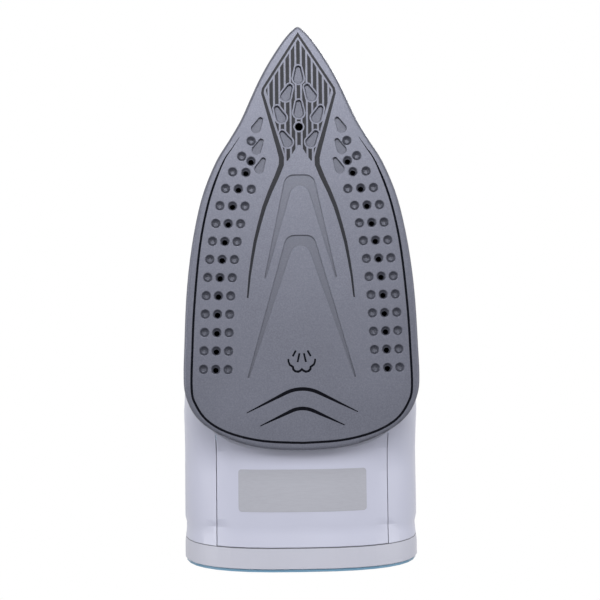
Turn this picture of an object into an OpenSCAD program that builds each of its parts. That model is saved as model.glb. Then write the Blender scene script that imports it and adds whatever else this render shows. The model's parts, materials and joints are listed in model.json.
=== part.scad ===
// Steam iron standing on its heel: +Z up towards the tip, soleplate facing -Y, origin on the heel face.
// Every sub-part is drawn with the iron lying on its soleplate (x across, y towards the tip,
// z up from the ironing face) and place() then sets it up on the heel.

/* [Soleplate] */
// Length of the soleplate from rear edge to tip
sole_l = 215; // [205:1:230]
// Greatest width of the soleplate
sole_w = 118; // [112:1:122]
// Thickness of the soleplate at its rim
sole_t = 5; // [4.5:0.25:6]
// Radius of the rounded rim round the ironing face
rim_r = 2; // [1:0.25:3]
// Diameter of a round dimple
dimple_d = 4.8; // [3.6:0.1:5.2]
// Depth of a round dimple
dimple_depth = 1.3; // [0.4:0.1:1.6]
// Distance from one dimple to the next along a column
dimple_pitch = 9.2; // [8.4:0.1:11]
// Distance between two columns of dimples
column_gap = 6.1; // [5.4:0.1:6.4]
// Distance from the edge to the outer column of dimples
column_inset = 10; // [9:0.25:11]
// Diameter of a steam vent
vent_d = 2.7; // [2:0.1:3.2]
// Diameter of the large vent near the tip
tip_vent_d = 4; // [3:0.25:5]
// Length of a drop-shaped dimple
drop_l = 8.6; // [6:0.2:9.4]
// Depth of the two nested arch grooves
arch_depth = 0.7; // [0.3:0.1:1]

/* [Steam chamber] */
// Height of the chamber walls above the ironing face
chamber_h = 14; // [12:0.5:16]
// Thickness of the chamber walls
chamber_wall = 2.4; // [2:0.2:3]
// Distance from the soleplate's edge to the chamber's outer wall
chamber_inset = 11.6; // [11:0.2:12]
// Thickness of the gasket under the chamber cover
gasket_t = 1; // [0.6:0.2:1.6]
// Thickness of the chamber cover
cover_t = 1.6; // [1.2:0.2:2.4]
// Diameter of the sheathed heating element
element_d = 7.6; // [6.5:0.1:8.5]
// Distance from the centre line to each leg of the heating element at the rear
element_x = 24; // [21:0.5:25]

/* [Body] */
// Width of the body
body_w = 122; // [119:1:126]
// Distance from the soleplate's rear edge back to the heel
heel_reach = 61; // [56:1:68]
// Height of the rear underside above the ironing face
heel_lift = 10; // [9.5:0.25:11]
// Backward lean of the iron when it stands on its heel, in degrees
lean = 8; // [6:0.5:10]
// Wall thickness of the body mouldings
body_wall = 2.4; // [2:0.1:3]
// Wall thickness of the water tank
tank_wall = 2; // [1.6:0.1:2.6]
// Height of the parting line between lower body and tank
tank_z = 36; // [35:0.5:38]
// Height of the tank's top at the middle of the iron
tank_top = 72; // [69:1:75]
// Height of the heel cap's band
heel_band = 12; // [9:0.5:15]
// Thickness of the foot plate on the heel
foot_t = 1.6; // [1.2:0.2:2.4]
// Half the distance between the two seams of the rear panel
seam_x = 43.5; // [40:0.5:46]
// Width of an open seam between two mouldings
seam_gap = 0.3; // [0.2:0.05:0.5]
// Height of the crease in the rear underside above the heel
crease_h = 22.6; // [18:0.2:26]
// Depth of that crease
crease_depth = 1; // [0.4:0.1:1.4]

/* [Handle] */
// Height of the grip's centre line above the ironing face
grip_z = 128; // [124:1:134]
// Width of the grip
grip_w = 38; // [34:1:42]
// Thickness of the grip from top to underside
grip_t = 30; // [27:1:33]
// Wall thickness of the handle mouldings
handle_wall = 3; // [2.6:0.1:3.4]
// Thickness of the soft pad under the grip
pad_t = 1.4; // [1:0.1:1.6]

/* [Controls] */
// Diameter of the temperature dial
dial_d = 50; // [44:1:54]
// Thickness of the temperature dial
dial_t = 8; // [6:0.5:9]
// Distance from the soleplate's rear edge to the dial's axis
dial_y = 80; // [76:1:84]
// Diameter of the thermostat's shaft
shaft_d = 6; // [5:0.25:7]
// Diameter of the steam knob
knob_d = 19; // [16:0.5:20]
// Height of the steam knob
knob_t = 8; // [6:0.5:10]
// Diameter of the steam valve rod
rod_d = 4; // [3:0.25:5]
// Distance from the centre line to each pump's axis
pump_x = 9.5; // [9.25:0.05:9.75]
// Bore of a pump
pump_bore = 12; // [11:0.25:12.5]
// Travel of the spray and steam buttons
button_travel = 6; // [4:0.5:6.5]
// Height that a button stands above the handle
button_rise = 3.5; // [2.5:0.25:5]
// Running clearance between a piston or shaft and its bore
running = 0.08; // [0.04:0.01:0.1]
// Diameter of the indicator lens
lens_d = 8; // [6:0.5:10]

/* [Cord gland] */
// Diameter of the gland's ball
ball_d = 18; // [16:0.5:18.5]
// Bore for the cord
cord_bore = 7.4; // [6:0.2:8]
// Distance from the ball's centre to the end of the boot
boot_l = 36; // [30:1:38]

/* [Hidden] */

$fn = 48;
eps = 0.02;
far = 400;
seat_gap = 0.3;

// Colours
coating = "#8a8d99";
alloy = "#b4b6ba";
steel = "#c4c6c8";
phenolic = "#2e3034";
white_shell = "#d4d5e0";
white_cap = "#cfd0d6";
tank_blue = "#6fa8c8";
accent_blue = "#2f6f96";
soft_grey = "#4a5360";
silicone = "#b35a3a";
brass = "#c7a24a";
black = "#26272a";
amber = "#e08a2a";

// ---------------------------------------------------------------- curves

function mix(a, b, t) = a + (b - a) * t;
function clamp01(t) = max(0, min(1, t));
function ease(t) = let(u = clamp01(t)) u * u * (3 - 2 * u);
function reversed(list) = [for (i = [len(list) - 1:-1:0]) list[i]];

function catmull(p0, p1, p2, p3, t) =
    0.5 * (2 * p1 + (p2 - p0) * t + (2 * p0 - 5 * p1 + 4 * p2 - p3) * t * t
        + (3 * p1 - p0 - 3 * p2 + p3) * t * t * t);

// A smooth curve through the points p with n steps from one point to the next
function curve(p, n, before, after) = concat(
    [for (i = [0:len(p) - 2], k = [0:n - 1])
        catmull(i == 0 ? before : p[i - 1], p[i], p[i + 1], i == len(p) - 2 ? after : p[i + 2], k / n)],
    [p[len(p) - 1]]);
function open_curve(p, n) = curve(p, n, 2 * p[0] - p[1], 2 * p[len(p) - 1] - p[len(p) - 2]);
function flip_x(p) = [-p[0], p[1]];

// ---------------------------------------------------------------- soleplate outline

// One side of the outline, as shares of half the width and of the length
sole_side = [
    [0, 0], [0.26, 0.003], [0.48, 0.014], [0.68, 0.035], [0.825, 0.06], [0.925, 0.09], [0.985, 0.13],
    [1, 0.17], [0.993, 0.24], [0.976, 0.35], [0.942, 0.445], [0.887, 0.535], [0.818, 0.608],
    [0.712, 0.678], [0.604, 0.726], [0.503, 0.773], [0.425, 0.82], [0.343, 0.869], [0.245, 0.918],
    [0.124, 0.968], [0.046, 0.992], [0, 1]
];
sole_points = [for (p = sole_side) [p[0] * sole_w / 2, p[1] * sole_l]];
side_curve = curve(sole_points, 3, flip_x(sole_points[1]), flip_x(sole_points[len(sole_points) - 2]));
sole_outline = concat(side_curve, [for (i = [len(side_curve) - 2:-1:1]) flip_x(side_curve[i])]);
side_table = [for (p = side_curve) [p[1], p[0]]];
function sole_half(y) = lookup(y, side_table);

// The outline moved inwards by d, point by point
function outline_normal(list, i) = let(
    n = len(list),
    along = list[(i + 1) % n] - list[(i + n - 1) % n]
) [-along[1], along[0]] / norm(along);
function moved_in(list, d) = [for (i = [0:len(list) - 1]) list[i] + d * outline_normal(list, i)];

module sole_shape(inset = 0) {
    offset(delta = -inset) polygon(sole_outline);
}

// ---------------------------------------------------------------- lofts

// A closed solid through rings of equal length, each end closed to the ring's own centre
function ring_centre(ring) = let(n = len(ring)) [for (k = [0:2]) [for (p = ring) p[k]] * [for (p = ring) 1 / n]];
module loft(rings) {
    n = len(rings[0]);
    m = len(rings);
    points = concat([for (ring = rings) each ring], [ring_centre(rings[0])], [ring_centre(rings[m - 1])]);
    sides = [for (j = [0:m - 2], i = [0:n - 1]) let(
        a = j * n + i,
        b = j * n + (i + 1) % n
    ) each [[a, b, b + n], [a, b + n, a + n]]];
    first = [for (i = [0:n - 1]) [m * n, (i + 1) % n, i]];
    last = [for (i = [0:n - 1]) [m * n + 1, (m - 1) * n + i, (m - 1) * n + (i + 1) % n]];
    polyhedron(points, concat(sides, first, last), convexity = 6);
}

function oval(a, power) = [
    sign(cos(a)) * pow(abs(cos(a)), 2 / power),
    sign(sin(a)) * pow(abs(sin(a)), 2 / power)
];

// ---------------------------------------------------------------- body form

body_ring_n = 36;
nose_end = sole_l - 8;
floor_table = [
    [-90, heel_lift], [-4, heel_lift], [0, heel_lift - 2], [10, 0], [20, -14], [30, -26], [42, -32], [sole_l, -32]
];
top_points = [
    [-90, 12], [-40, 12], [-10, 10], [20, 6.5], [60, 1.5], [100, -3], [130, -9], [155, -17], [175, -25.5],
    [190, -33], [200, -40], [nose_end, -46]
];
top_table = open_curve(top_points, 3);
middle_table = [[-90, 50], [0, 50], [60, 42], [120, 34], [160, 28], [nose_end, 20]];
function body_half(y) =
    mix(body_w / 2, sole_half(max(y, 0.17 * sole_l)) - 2.5, ease((y - 15) / 50));
function body_floor(y) = lookup(y, floor_table);
function body_top(y) = tank_top + lookup(y, top_table);
function body_middle(y) = lookup(y, middle_table);
function body_power(y) = mix(2.7, 3.2, ease(y / 40));
// The crease: a step that opens at crease_h + 8 above the heel and runs out towards the heel
function crease(y) = let(h = y + heel_reach)
    crease_depth * ease((crease_h + 4 - h) / 4) * ease((h - heel_band) / (crease_h - heel_band));

function body_ring(y, inset) = let(
    w = body_half(y) - inset,
    mid = body_middle(y),
    up = body_top(y) - inset - mid,
    down = mid - body_floor(y) - inset
) [for (i = [0:body_ring_n - 1]) let(
    a = -90 + 360 * i / body_ring_n,
    upper = oval(a, 2.5),
    lower = oval(a, body_power(y)),
    shrink = sin(a) < 0.2 ? crease(y) : 0,
    p = sin(a) > 0 ? [w * upper[0], up * upper[1]] : [(w - shrink) * lower[0], (down - shrink) * lower[1]]
) [p[0], y, mid + p[1]]];

body_stations = concat(
    [-84, -heel_reach + heel_band + 1],
    [for (h = [18, crease_h, crease_h + 4]) h - heel_reach],
    [-12, 0, 10, 20, 32],
    [for (i = [1:11]) mix(32, nose_end, sin(90 * i / 11))]
);
function station_ok(y, inset) = y <= 60 || sole_half(y) - 2.5 - inset > 3;
// The body as one solid, set in by inset, from one station to another
module body_form(inset = 0, from = -far, to = far) {
    stations = [for (y = body_stations) if (station_ok(y, inset) && y >= from && y <= to)
        y - (y > 60 ? inset * (y - 60) / 150 : 0)];
    loft([for (y = stations) body_ring(y, inset)]);
}

// Everything below the height z
module below(z) {
    translate([-far, -far, z - far]) cube([2 * far, 2 * far, far]);
}

// Frame of the heel: y up from the table, z away from the soleplate's side
module at_heel() {
    translate([0, -heel_reach, heel_lift]) rotate([-lean, 0, 0]) children();
}
module above_heel(h, top = far) {
    at_heel() translate([-far / 2, h, -far / 2]) cube([far, top - h, far]);
}
// Everything whose side view lies inside the outline p, given as [y, z] points
module side_prism(p, half = far / 2) {
    rotate([90, 0, 90]) translate([0, 0, -half]) linear_extrude(2 * half) polygon(p);
}

// Parting of the tank from the lower housing
nose_line_y = nose_end + 20;
function tank_side(gap) = [
    [-4 + gap, 120], [4 + gap, tank_top - 2], [13 + gap, 50], [27 + gap, tank_z + gap],
    [nose_line_y, tank_z + gap], [nose_line_y, 120]
];

// ---------------------------------------------------------------- handle form

handle_ring_n = 20;
head_z = grip_z - 7;
// Centre line and half sizes: [y, z, half width, half thickness]
handle_points = [
    [-30, 58, 33, 20], [-31, 88, 29, 18], [-23, grip_z - 15, 24, 16.5], [0, grip_z - 2, grip_w / 2 + 1.5, grip_t / 2 + 0.5],
    [36, grip_z, grip_w / 2, grip_t / 2], [72, grip_z - 1.5, grip_w / 2 + 0.5, grip_t / 2 + 0.5],
    [104, head_z, 24, 18.5], [132, head_z - 14, 25, 20], [146, head_z - 41, 23, 20], [152, head_z - 75, 20, 19]
];
handle_line = open_curve(handle_points, 2);
function line_step(i) = let(
    a = handle_line[max(i - 1, 0)],
    b = handle_line[min(i + 1, len(handle_line) - 1)]
) [b[0] - a[0], b[1] - a[1]];
function line_normal(i) = let(s = line_step(i)) [-s[1], s[0]] / norm(s);
function line_point(i, off) = [handle_line[i][0], handle_line[i][1]] + off * line_normal(i);

// The handle as one solid, set in by inset, from one station to another
handle_end = len(handle_line) - 1;
module handle_form(inset = 0, from = 0, to = handle_end) {
    loft([for (i = [from:to]) let(c = handle_line[i]) [for (k = [0:handle_ring_n - 1]) let(
        q = oval(360 * (k + 0.5) / handle_ring_n, 2.5),
        at = line_point(i, (c[3] - inset) * q[1])
    ) [(c[2] - inset) * q[0], at[0], at[1]]]]);
}
module handle_shell() {
    difference() {
        handle_form(0);
        handle_form(handle_wall);
    }
}
// Region on the outer side of the handle's centre line, from station i to station j
function between(i, off) = (line_point(i, off) + line_point(i + 1, off)) / 2;
function cover_side(i, j, off, reach) = concat(
    [for (k = [i:j]) between(k, off)],
    [for (k = [j:-1:i]) between(k, reach)]
);
cover_first = 2;
cover_last = 16;
module cover_zone(off = 0.3) {
    side_prism(cover_side(cover_first, cover_last, off, 44));
}

// ---------------------------------------------------------------- places of the controls

pump_y = 103;
pump_z = head_z - 14;
pump_h = 15;
pump_wall = 1.2;
piston_h = 3;
piston_z = pump_z + 1.5 + button_travel + 3;
button_w = 15;
button_l = 20;
button_base = pump_z + pump_h + button_travel + 1;
rod_y = 138;
turret_top = head_z + 12;
turret_d = knob_d + 3;
rod_low = 24;
rod_top = turret_top - 5;
stem_d = 9;
stem_l = 10;
neck_foot = [0, 147, 56];
neck_d = 14;
neck_wall = 1.5;
neck_behind = 6.5;
hose_d = 4;
steam_drop = [-13, rod_y + 5];
door_tilt = 72;
door_w = 20;
door_l = 24;
door_at = [0, 162.5, head_z - 26];
nozzle_at = [0, 171.5, head_z - 50];
lens_y = -1;
lens_top = grip_z - 2 + grip_t / 2 + 0.5;
gland_at = [0, -20, grip_z - 7.5];
gland_tilt = asin(0.35);
collar_d = 24;
boss_d = 30;
dial_z = tank_top + 2.5;
thermostat_z = chamber_h + gasket_t + cover_t + 0.4;
deck_t = 2.6;
shield_inset = 8;
flange_z = 6.5;
housing_z = 9;
// The chamber's screw posts stand against the inside of its wall
post_d = 8;
post_inset = chamber_inset + chamber_wall + 2.8;
function rim_lean(y) = atan((sole_half(y - 4) - sole_half(y + 4)) / 8);
function inside_rim(y, inset) = sole_half(y) - inset / cos(rim_lean(y));
screw_places = [for (y = [0.256, 0.465, 0.7] * sole_l, side = [1, -1]) [side * inside_rim(y, post_inset), y]];
heel_screw_x = 38;
heel_screw_z = 38;
heel_screw_places = [[heel_screw_x, heel_screw_z], [-heel_screw_x, heel_screw_z]];

// ---------------------------------------------------------------- soleplate and steam chamber

// The place s millimetres along the path
function run(path) = [for (i = 0, s = 0; i < len(path); s = s + (i + 1 < len(path) ? norm(path[i + 1] - path[i]) : 0), i = i + 1) s];
function along(path, s) = let(r = run(path)) [
    lookup(s, [for (i = [0:len(path) - 1]) [r[i], path[i][0]]]),
    lookup(s, [for (i = [0:len(path) - 1]) [r[i], path[i][1]]])
];
columns = [[0, 14], [1, 13], [2, 12]];
column_start_y = 0.186 * sole_l;
function column(inset, count) = let(
    inner = moved_in(sole_outline, inset),
    path = [for (p = inner) if (p[0] > 12 && p[1] >= column_start_y && p[1] < 0.86 * sole_l) p]
) [for (k = [0:count - 1]) along(path, k * dimple_pitch)];

module both_sides() {
    children();
    mirror([1, 0, 0]) children();
}

module dimple(vent) {
    translate([0, 0, -eps]) cylinder(h = dimple_depth + eps, d1 = dimple_d, d2 = 0.56 * dimple_d, $fn = 24);
    translate([0, vent ? -0.4 : 0, 0]) {
        if (vent) cylinder(h = sole_t + 1, d = vent_d, $fn = 16);
        else cylinder(h = dimple_depth + 0.7, d = dimple_d / 2.3, $fn = 16);
    }
}

// A drop-shaped dimple, deep at its narrow end and shallow at its wide end
drop_big = 2.3;
drop_small = 1.15;
drop_slope = 4;
drop_depth = 0.9;
function drop_outline() = concat(
    [for (a = [-180:20:0]) [drop_big * cos(a), drop_big * sin(a)]],
    [for (a = [0:30:180]) [drop_small * cos(a), drop_l - drop_big - drop_small + drop_small * sin(a)]]
);
module drop(x, y, turn) {
    translate([x, y, 0]) rotate([0, 0, turn]) translate([0, -(drop_l - drop_big - drop_small) / 2, 0])
        rotate([drop_slope, 0, 0]) translate([0, 0, -3]) linear_extrude(3 + drop_depth) polygon(drop_outline());
}
drops_middle = [0.885, 0.803];
drops_side = [[5.5, 0.842, 25], [10, 0.79, -25], [7.2, 0.731, -30], [20.6, 0.764, 27], [20.4, 0.713, 27], [19.3, 0.668, 25]];
tip_vent_y = 0.757 * sole_l;

// One side of an arch's outline: a flat crown, a round corner and a straight leg down to its foot
arch_r = 5;
function arch_side(crown, foot, shoulder) = let(
    turn = atan2(crown - foot[1], foot[0] - shoulder),
    hub = [shoulder - arch_r * tan(turn / 2), crown - arch_r]
) concat(
    [[0, crown]],
    [for (k = [0:6]) hub + arch_r * [sin(turn * k / 6), cos(turn * k / 6)]],
    [foot]
);
// An arch: a groove that is widest at its crown and runs out along both legs
module arch(crown, foot, shoulder, width) {
    outer = arch_side(crown, foot, shoulder);
    inner = arch_side(crown - width, foot - [0.7, 0.4], shoulder - width / 2 - 0.3);
    translate([0, 0, -eps]) linear_extrude(arch_depth + eps) polygon(concat(
        outer, reversed(inner),
        [for (i = [1:len(inner) - 1]) flip_x(inner[i])],
        [for (i = [len(outer) - 1:-1:1]) flip_x(outer[i])]
    ));
}

// What the rounding takes off the rim of the ironing face
module rim_cut() {
    steps = 3;
    n = len(sole_outline);
    rounding = [for (k = [0:steps]) let(a = 90 * k / steps) [rim_r * (1 - sin(a)) - eps, rim_r * (1 - cos(a)) - eps]];
    section = concat(rounding, [[-3, rim_r], [-3, -3], [rim_r, -3]]);
    rows = [for (q = section) [for (p = moved_in(sole_outline, q[0])) [p[0], p[1], q[1]]]];
    m = len(section);
    polyhedron(
        [for (row = rows) each row],
        [for (j = [0:m - 1], i = [0:n - 1]) let(
            a = j * n + i,
            b = j * n + (i + 1) % n,
            c = ((j + 1) % m) * n + i,
            d = ((j + 1) % m) * n + (i + 1) % n
        ) each [[a, d, c], [a, b, d]]],
        convexity = 4
    );
}

// Path of the heating element: two legs and a round front bend
element_z = sole_t + element_d / 2 + 0.6;
element_tip = 0.62 * sole_l;
element_rear = 19;
element_bend = element_x - 8;
module element_path(d, ends) {
    lean_in = atan((element_x - element_bend) / (element_tip - 8));
    both_sides() translate([element_bend, element_tip, element_z]) rotate([90, 0, lean_in])
        cylinder(h = (element_tip - element_rear) / cos(lean_in), d = d, $fn = 32);
    both_sides() translate([element_x, element_rear + d / 2, element_z]) cylinder(h = ends, d = d - 2, $fn = 32);
    translate([0, element_tip, element_z]) rotate_extrude(angle = 180, $fn = 64)
        translate([element_bend, 0]) circle(d = d, $fn = 32);
}

module soleplate() {
    color(coating) difference() {
        union() {
            linear_extrude(sole_t) polygon(sole_outline);
            translate([0, 0, sole_t - eps]) linear_extrude(chamber_h - sole_t + eps) difference() {
                sole_shape(chamber_inset);
                sole_shape(chamber_inset + chamber_wall);
            }
            for (p = screw_places) translate([p[0], p[1], sole_t - eps]) cylinder(h = chamber_h - sole_t + eps, d = post_d);
            translate([0, dial_y, sole_t - eps]) cylinder(h = thermostat_z - sole_t + eps, d = 24);
            element_bed();
        }
        rim_cut();
        for (c = columns) both_sides()
            for (p = column(column_inset + c[0] * column_gap, c[1])) translate([p[0], p[1], 0]) dimple(c[0] == 1);
        for (share = drops_middle) drop(0, share * sole_l, 0);
        both_sides() for (d = drops_side) drop(d[0], d[1] * sole_l, d[2]);
        translate([0, tip_vent_y, -1]) cylinder(h = sole_t + 2, d = tip_vent_d, $fn = 24);
        arch(0.643 * sole_l, [0.307 * sole_w / 2, 0.401 * sole_l], 7, 5.6);
        arch(0.5 * sole_l, [0.458 * sole_w / 2, 0.168 * sole_l], 6.8, 5.4);
        element_path(element_d + 0.2, chamber_h);
        for (p = screw_places) translate([p[0], p[1], sole_t + 1]) cylinder(h = chamber_h, d = 3.4, $fn = 24);
    }
}

// Cast ridge that carries the heating element
module element_bed() {
    w = element_d + 5;
    translate([0, 0, sole_t - eps]) linear_extrude(element_z - sole_t + eps) difference() {
        hull() {
            both_sides() translate([element_x, element_rear + 3.5]) circle(d = w, $fn = 32);
            translate([0, element_tip]) circle(r = element_bend + w / 2, $fn = 48);
        }
        hull() {
            both_sides() translate([element_x - w / 2 - 3, 2]) circle(d = 6, $fn = 24);
            translate([0, element_tip]) circle(r = element_bend - w / 2, $fn = 48);
        }
    }
}

module heating_element() {
    color(steel) {
        element_path(element_d, 9);
        both_sides() translate([element_x, element_rear + element_d / 2, element_z]) cylinder(h = 16, d = 2.6, $fn = 24);
    }
}

module chamber_plan(inset, holes) {
    difference() {
        sole_shape(inset);
        translate([0, dial_y]) circle(d = 26);
        translate([0, rod_y]) circle(d = 9.6);
        translate(steam_drop) circle(d = hose_d + 0.6, $fn = 24);
        both_sides() translate([element_x, element_rear + element_d / 2]) circle(d = element_d, $fn = 24);
        for (p = screw_places) translate(p) circle(d = holes, $fn = 24);
    }
}

module chamber_gasket() {
    color(silicone) translate([0, 0, chamber_h]) linear_extrude(gasket_t) {
        difference() {
            sole_shape(chamber_inset);
            sole_shape(chamber_inset + chamber_wall);
        }
        for (p = screw_places) translate(p) difference() {
            circle(d = post_d);
            circle(d = 3.4, $fn = 24);
        }
    }
}

module chamber_cover() {
    color(alloy) translate([0, 0, chamber_h + gasket_t]) linear_extrude(cover_t) chamber_plan(chamber_inset, 3.4);
}

module pan_screw(length, d, head_d, head_h) {
    translate([0, 0, -length]) cylinder(h = length, d = d, $fn = 24);
    difference() {
        cylinder(h = head_h, d1 = head_d, d2 = head_d - 1, $fn = 32);
        translate([0, 0, head_h - 0.8]) linear_extrude(1) union() {
            square([0.9, head_d * 0.6], center = true);
            square([head_d * 0.6, 0.9], center = true);
        }
    }
}

module chamber_screws() {
    color(steel) for (p = screw_places) translate([p[0], p[1], chamber_h + gasket_t + cover_t])
        pan_screw(7.5, 3.2, 6.4, 2.2);
}

// ---------------------------------------------------------------- thermostat and fuse

thermostat_h = 12;
module thermostat() {
    color("#d9d4c4") translate([0, dial_y, thermostat_z]) {
        difference() {
            union() {
                cylinder(h = 2, d = 22);
                translate([-7, -11, 2]) cube([14, 22, 5]);
                translate([0, 0, 7]) cylinder(h = thermostat_h - 7, d = 11);
            }
            translate([0, 0, 4]) cylinder(h = thermostat_h, d = shaft_d + 2 * running);
        }
        translate([-3, 11, 3]) cube([6, 7, 0.8]);
        translate([-3, -18, 3]) cube([6, 7, 0.8]);
    }
}

module thermostat_shaft() {
    color(steel) translate([0, dial_y, thermostat_z + 4.2]) difference() {
        cylinder(h = dial_z + dial_t - 3 - thermostat_z - 4.2, d = shaft_d);
        translate([shaft_d / 2 - 1, -shaft_d, dial_z - thermostat_z - 4]) cube([shaft_d, 2 * shaft_d, dial_t]);
    }
}

module thermal_fuse() {
    top = chamber_h + gasket_t + cover_t;
    color("#e6e0cf") {
        translate([-9, 112, top + 3]) rotate([0, 90, 0]) cylinder(h = 18, d = 4.6, $fn = 32);
        for (x = [-6, 4]) translate([x, 108, top]) cube([2, 8, 6.2]);
    }
}

// ---------------------------------------------------------------- heat shield

shield_wall = 2.2;
shield_front = sole_l - 39;
shield_nose_z = 22;
module shield_plan(inset, front) {
    intersection() {
        sole_shape(inset);
        translate([-far / 2, 0]) square([far, front]);
    }
}
module heat_shield() {
    color(phenolic) difference() {
        union() {
            translate([0, 0, sole_t]) linear_extrude(tank_z - sole_t) shield_plan(shield_inset, shield_front);
            translate([0, 0, sole_t]) linear_extrude(shield_nose_z - sole_t) sole_shape(shield_inset);
            translate([0, 0, flange_z]) linear_extrude(housing_z - flange_z) sole_shape(3.4);
        }
        translate([0, 0, -1]) linear_extrude(tank_z - deck_t + 1)
            shield_plan(shield_inset + shield_wall, shield_front - shield_wall);
        translate([0, 0, -1]) linear_extrude(shield_nose_z - deck_t + 1) sole_shape(shield_inset + shield_wall);
        translate([0, dial_y, 0]) cylinder(h = tank_z + 1, d = 13);
        translate([0, rod_y, 0]) cylinder(h = tank_z + 1, d = 10.6);
        translate([steam_drop[0], steam_drop[1], 0]) cylinder(h = tank_z + 1, d = hose_d + 0.8, $fn = 24);
        translate([0, 20, tank_z - deck_t - 8]) rotate([90, 0, 0]) cylinder(h = 30, d = 9);
    }
}

// ---------------------------------------------------------------- lower housing, rear panel, heel

panel_end = 8;
module panel_zone(gap) {
    translate([-seam_x + gap, -far, tank_z - far]) cube([2 * (seam_x - gap), far + panel_end, far]);
}

module body_shell(to = far) {
    difference() {
        body_form(0, -far, to);
        body_form(body_wall, -far, to);
    }
}

module tank_zone(gap) {
    side_prism(tank_side(gap));
}

module lower_housing() {
    color(white_shell) difference() {
        union() {
            difference() {
                body_shell();
                panel_zone(0);
            }
            heel_bosses();
        }
        below(housing_z);
        tank_zone(0);
        at_heel() translate([-far / 2, heel_band - far, -far / 2]) cube([far, far, far]);
        // Way for the leads up into the handle
        translate([-20, -40, 60]) cube([40, 16, 60]);
        for (p = heel_screw_places) at_heel() translate([p[0], 0, p[1]]) rotate([-90, 0, 0])
            cylinder(h = heel_band + 14, d = 3.2, $fn = 24);
    }
}

// Posts inside the rear of the housing that the heel screws bite into
module heel_bosses() {
    both_sides() at_heel() {
        translate([heel_screw_x, heel_band, heel_screw_z]) rotate([-90, 0, 0]) cylinder(h = 16, d = 9);
        translate([heel_screw_x, heel_band, heel_screw_z - 2]) cube([body_w / 2 - body_wall / 2 - heel_screw_x, 16, 4]);
    }
}

module rear_panel() {
    color(white_shell) difference() {
        union() {
            intersection() {
                body_shell(panel_end + 26);
                panel_zone(seam_gap);
            }
            for (x = [-block_hole, block_hole]) translate([x, block_y, heel_lift + 1]) cylinder(h = block_z - heel_lift - 1, d = 6);
        }
        below(housing_z);
        at_heel() translate([-far / 2, heel_band + 0.15 - far, -far / 2]) cube([far, far, far]);
        for (x = [-block_hole, block_hole]) translate([x, block_y, block_z - 6]) cylinder(h = 8, d = 2.6, $fn = 24);
    }
}

module heel_cap() {
    color(white_cap) difference() {
        intersection() {
            body_form(0, -far, -20);
            above_heel(foot_t, heel_band);
        }
        intersection() {
            body_form(body_wall, -far, -20);
            above_heel(foot_t + body_wall, far);
        }
        for (p = heel_screw_places) at_heel() translate([p[0], 0, p[1]]) rotate([-90, 0, 0]) {
            translate([0, 0, foot_t - 1]) cylinder(h = body_wall + 2, d = 3.4, $fn = 24);
        }
    }
}

module heel_foot() {
    color(accent_blue) difference() {
        intersection() {
            body_form(0.8, -far, -20);
            above_heel(0, foot_t);
        }
        for (p = heel_screw_places) at_heel() translate([p[0], -1, p[1]]) rotate([-90, 0, 0]) cylinder(h = foot_t + 2, d = 8);
    }
}

module heel_screws() {
    color(steel) for (p = heel_screw_places) at_heel() translate([p[0], foot_t, p[1]]) rotate([90, 0, 0])
        pan_screw(heel_band + 8, 3, 7, 1.2);
}

// ---------------------------------------------------------------- water tank and valve

module tunnel(x, y, d, top) {
    translate([x, y, tank_z]) cylinder(h = top - tank_z, d = d);
}

// The filler neck leans from the tank's top up to the door
neck_end = door_at - neck_behind * [0, sin(door_tilt), cos(door_tilt)];
neck_l = norm(neck_end - neck_foot);
neck_tilt = atan((neck_end[1] - neck_foot[1]) / (neck_end[2] - neck_foot[2]));
module neck_axis() {
    translate(neck_foot) rotate([-neck_tilt, 0, 0]) children();
}
module water_tank() {
    color(tank_blue, 0.55) difference() {
        union() {
            difference() {
                intersection() {
                    body_form(0, -15);
                    tank_zone(0.1);
                }
                intersection() {
                    body_form(tank_wall, -15);
                    side_prism([
                        [tank_wall - 2, 120], [tank_wall + 6, tank_top - 2], [tank_wall + 15, 50],
                        [tank_wall + 28.5, tank_z + tank_wall], [nose_line_y, tank_z + tank_wall], [nose_line_y, 120]
                    ]);
                }
            }
            tunnel(0, dial_y, shaft_d + 6, body_top(dial_y) - 1);
            tunnel(steam_drop[0], steam_drop[1], hose_d + 3.4, body_top(steam_drop[1]) - 3);
            difference() {
                neck_axis() cylinder(h = neck_l + 20, d = neck_d);
                door_frame() translate([-far / 2, -far / 2, -neck_behind]) cube([far, far, far]);
                translate([-neck_d, neck_foot[1] - 20, 30]) cube([2 * neck_d, 40, body_top(neck_foot[1]) - 31]);
            }
        }
        translate([0, dial_y, 0]) cylinder(h = far, d = shaft_d + 2);
        translate([steam_drop[0], steam_drop[1], 0]) cylinder(h = far, d = hose_d + 0.6, $fn = 24);
        neck_axis() translate([0, 0, -12]) cylinder(h = neck_l + 40, d = neck_d - 2 * neck_wall);
        translate([0, rod_y, tank_z + 8]) cylinder(h = 60, d = rod_d + 1);
        translate([0, rod_y, tank_z - 1]) cylinder(h = 8, d = 7);
    }
}

module valve_seat() {
    color(silicone) translate([0, rod_y, 0]) difference() {
        union() {
            translate([0, 0, chamber_h + gasket_t]) cylinder(h = tank_z + tank_wall + 2.6 - chamber_h - gasket_t, d = 6.8);
            translate([0, 0, chamber_h + gasket_t + cover_t]) cylinder(h = 2, d = 10);
            translate([0, 0, tank_z + tank_wall + 0.1]) cylinder(h = 2.5, d = 10);
        }
        cylinder(h = far, d = 2.4, $fn = 24);
        translate([0, 0, rod_low + 6]) cylinder(h = far, d = rod_d + 0.6, $fn = 24);
    }
}

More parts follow.
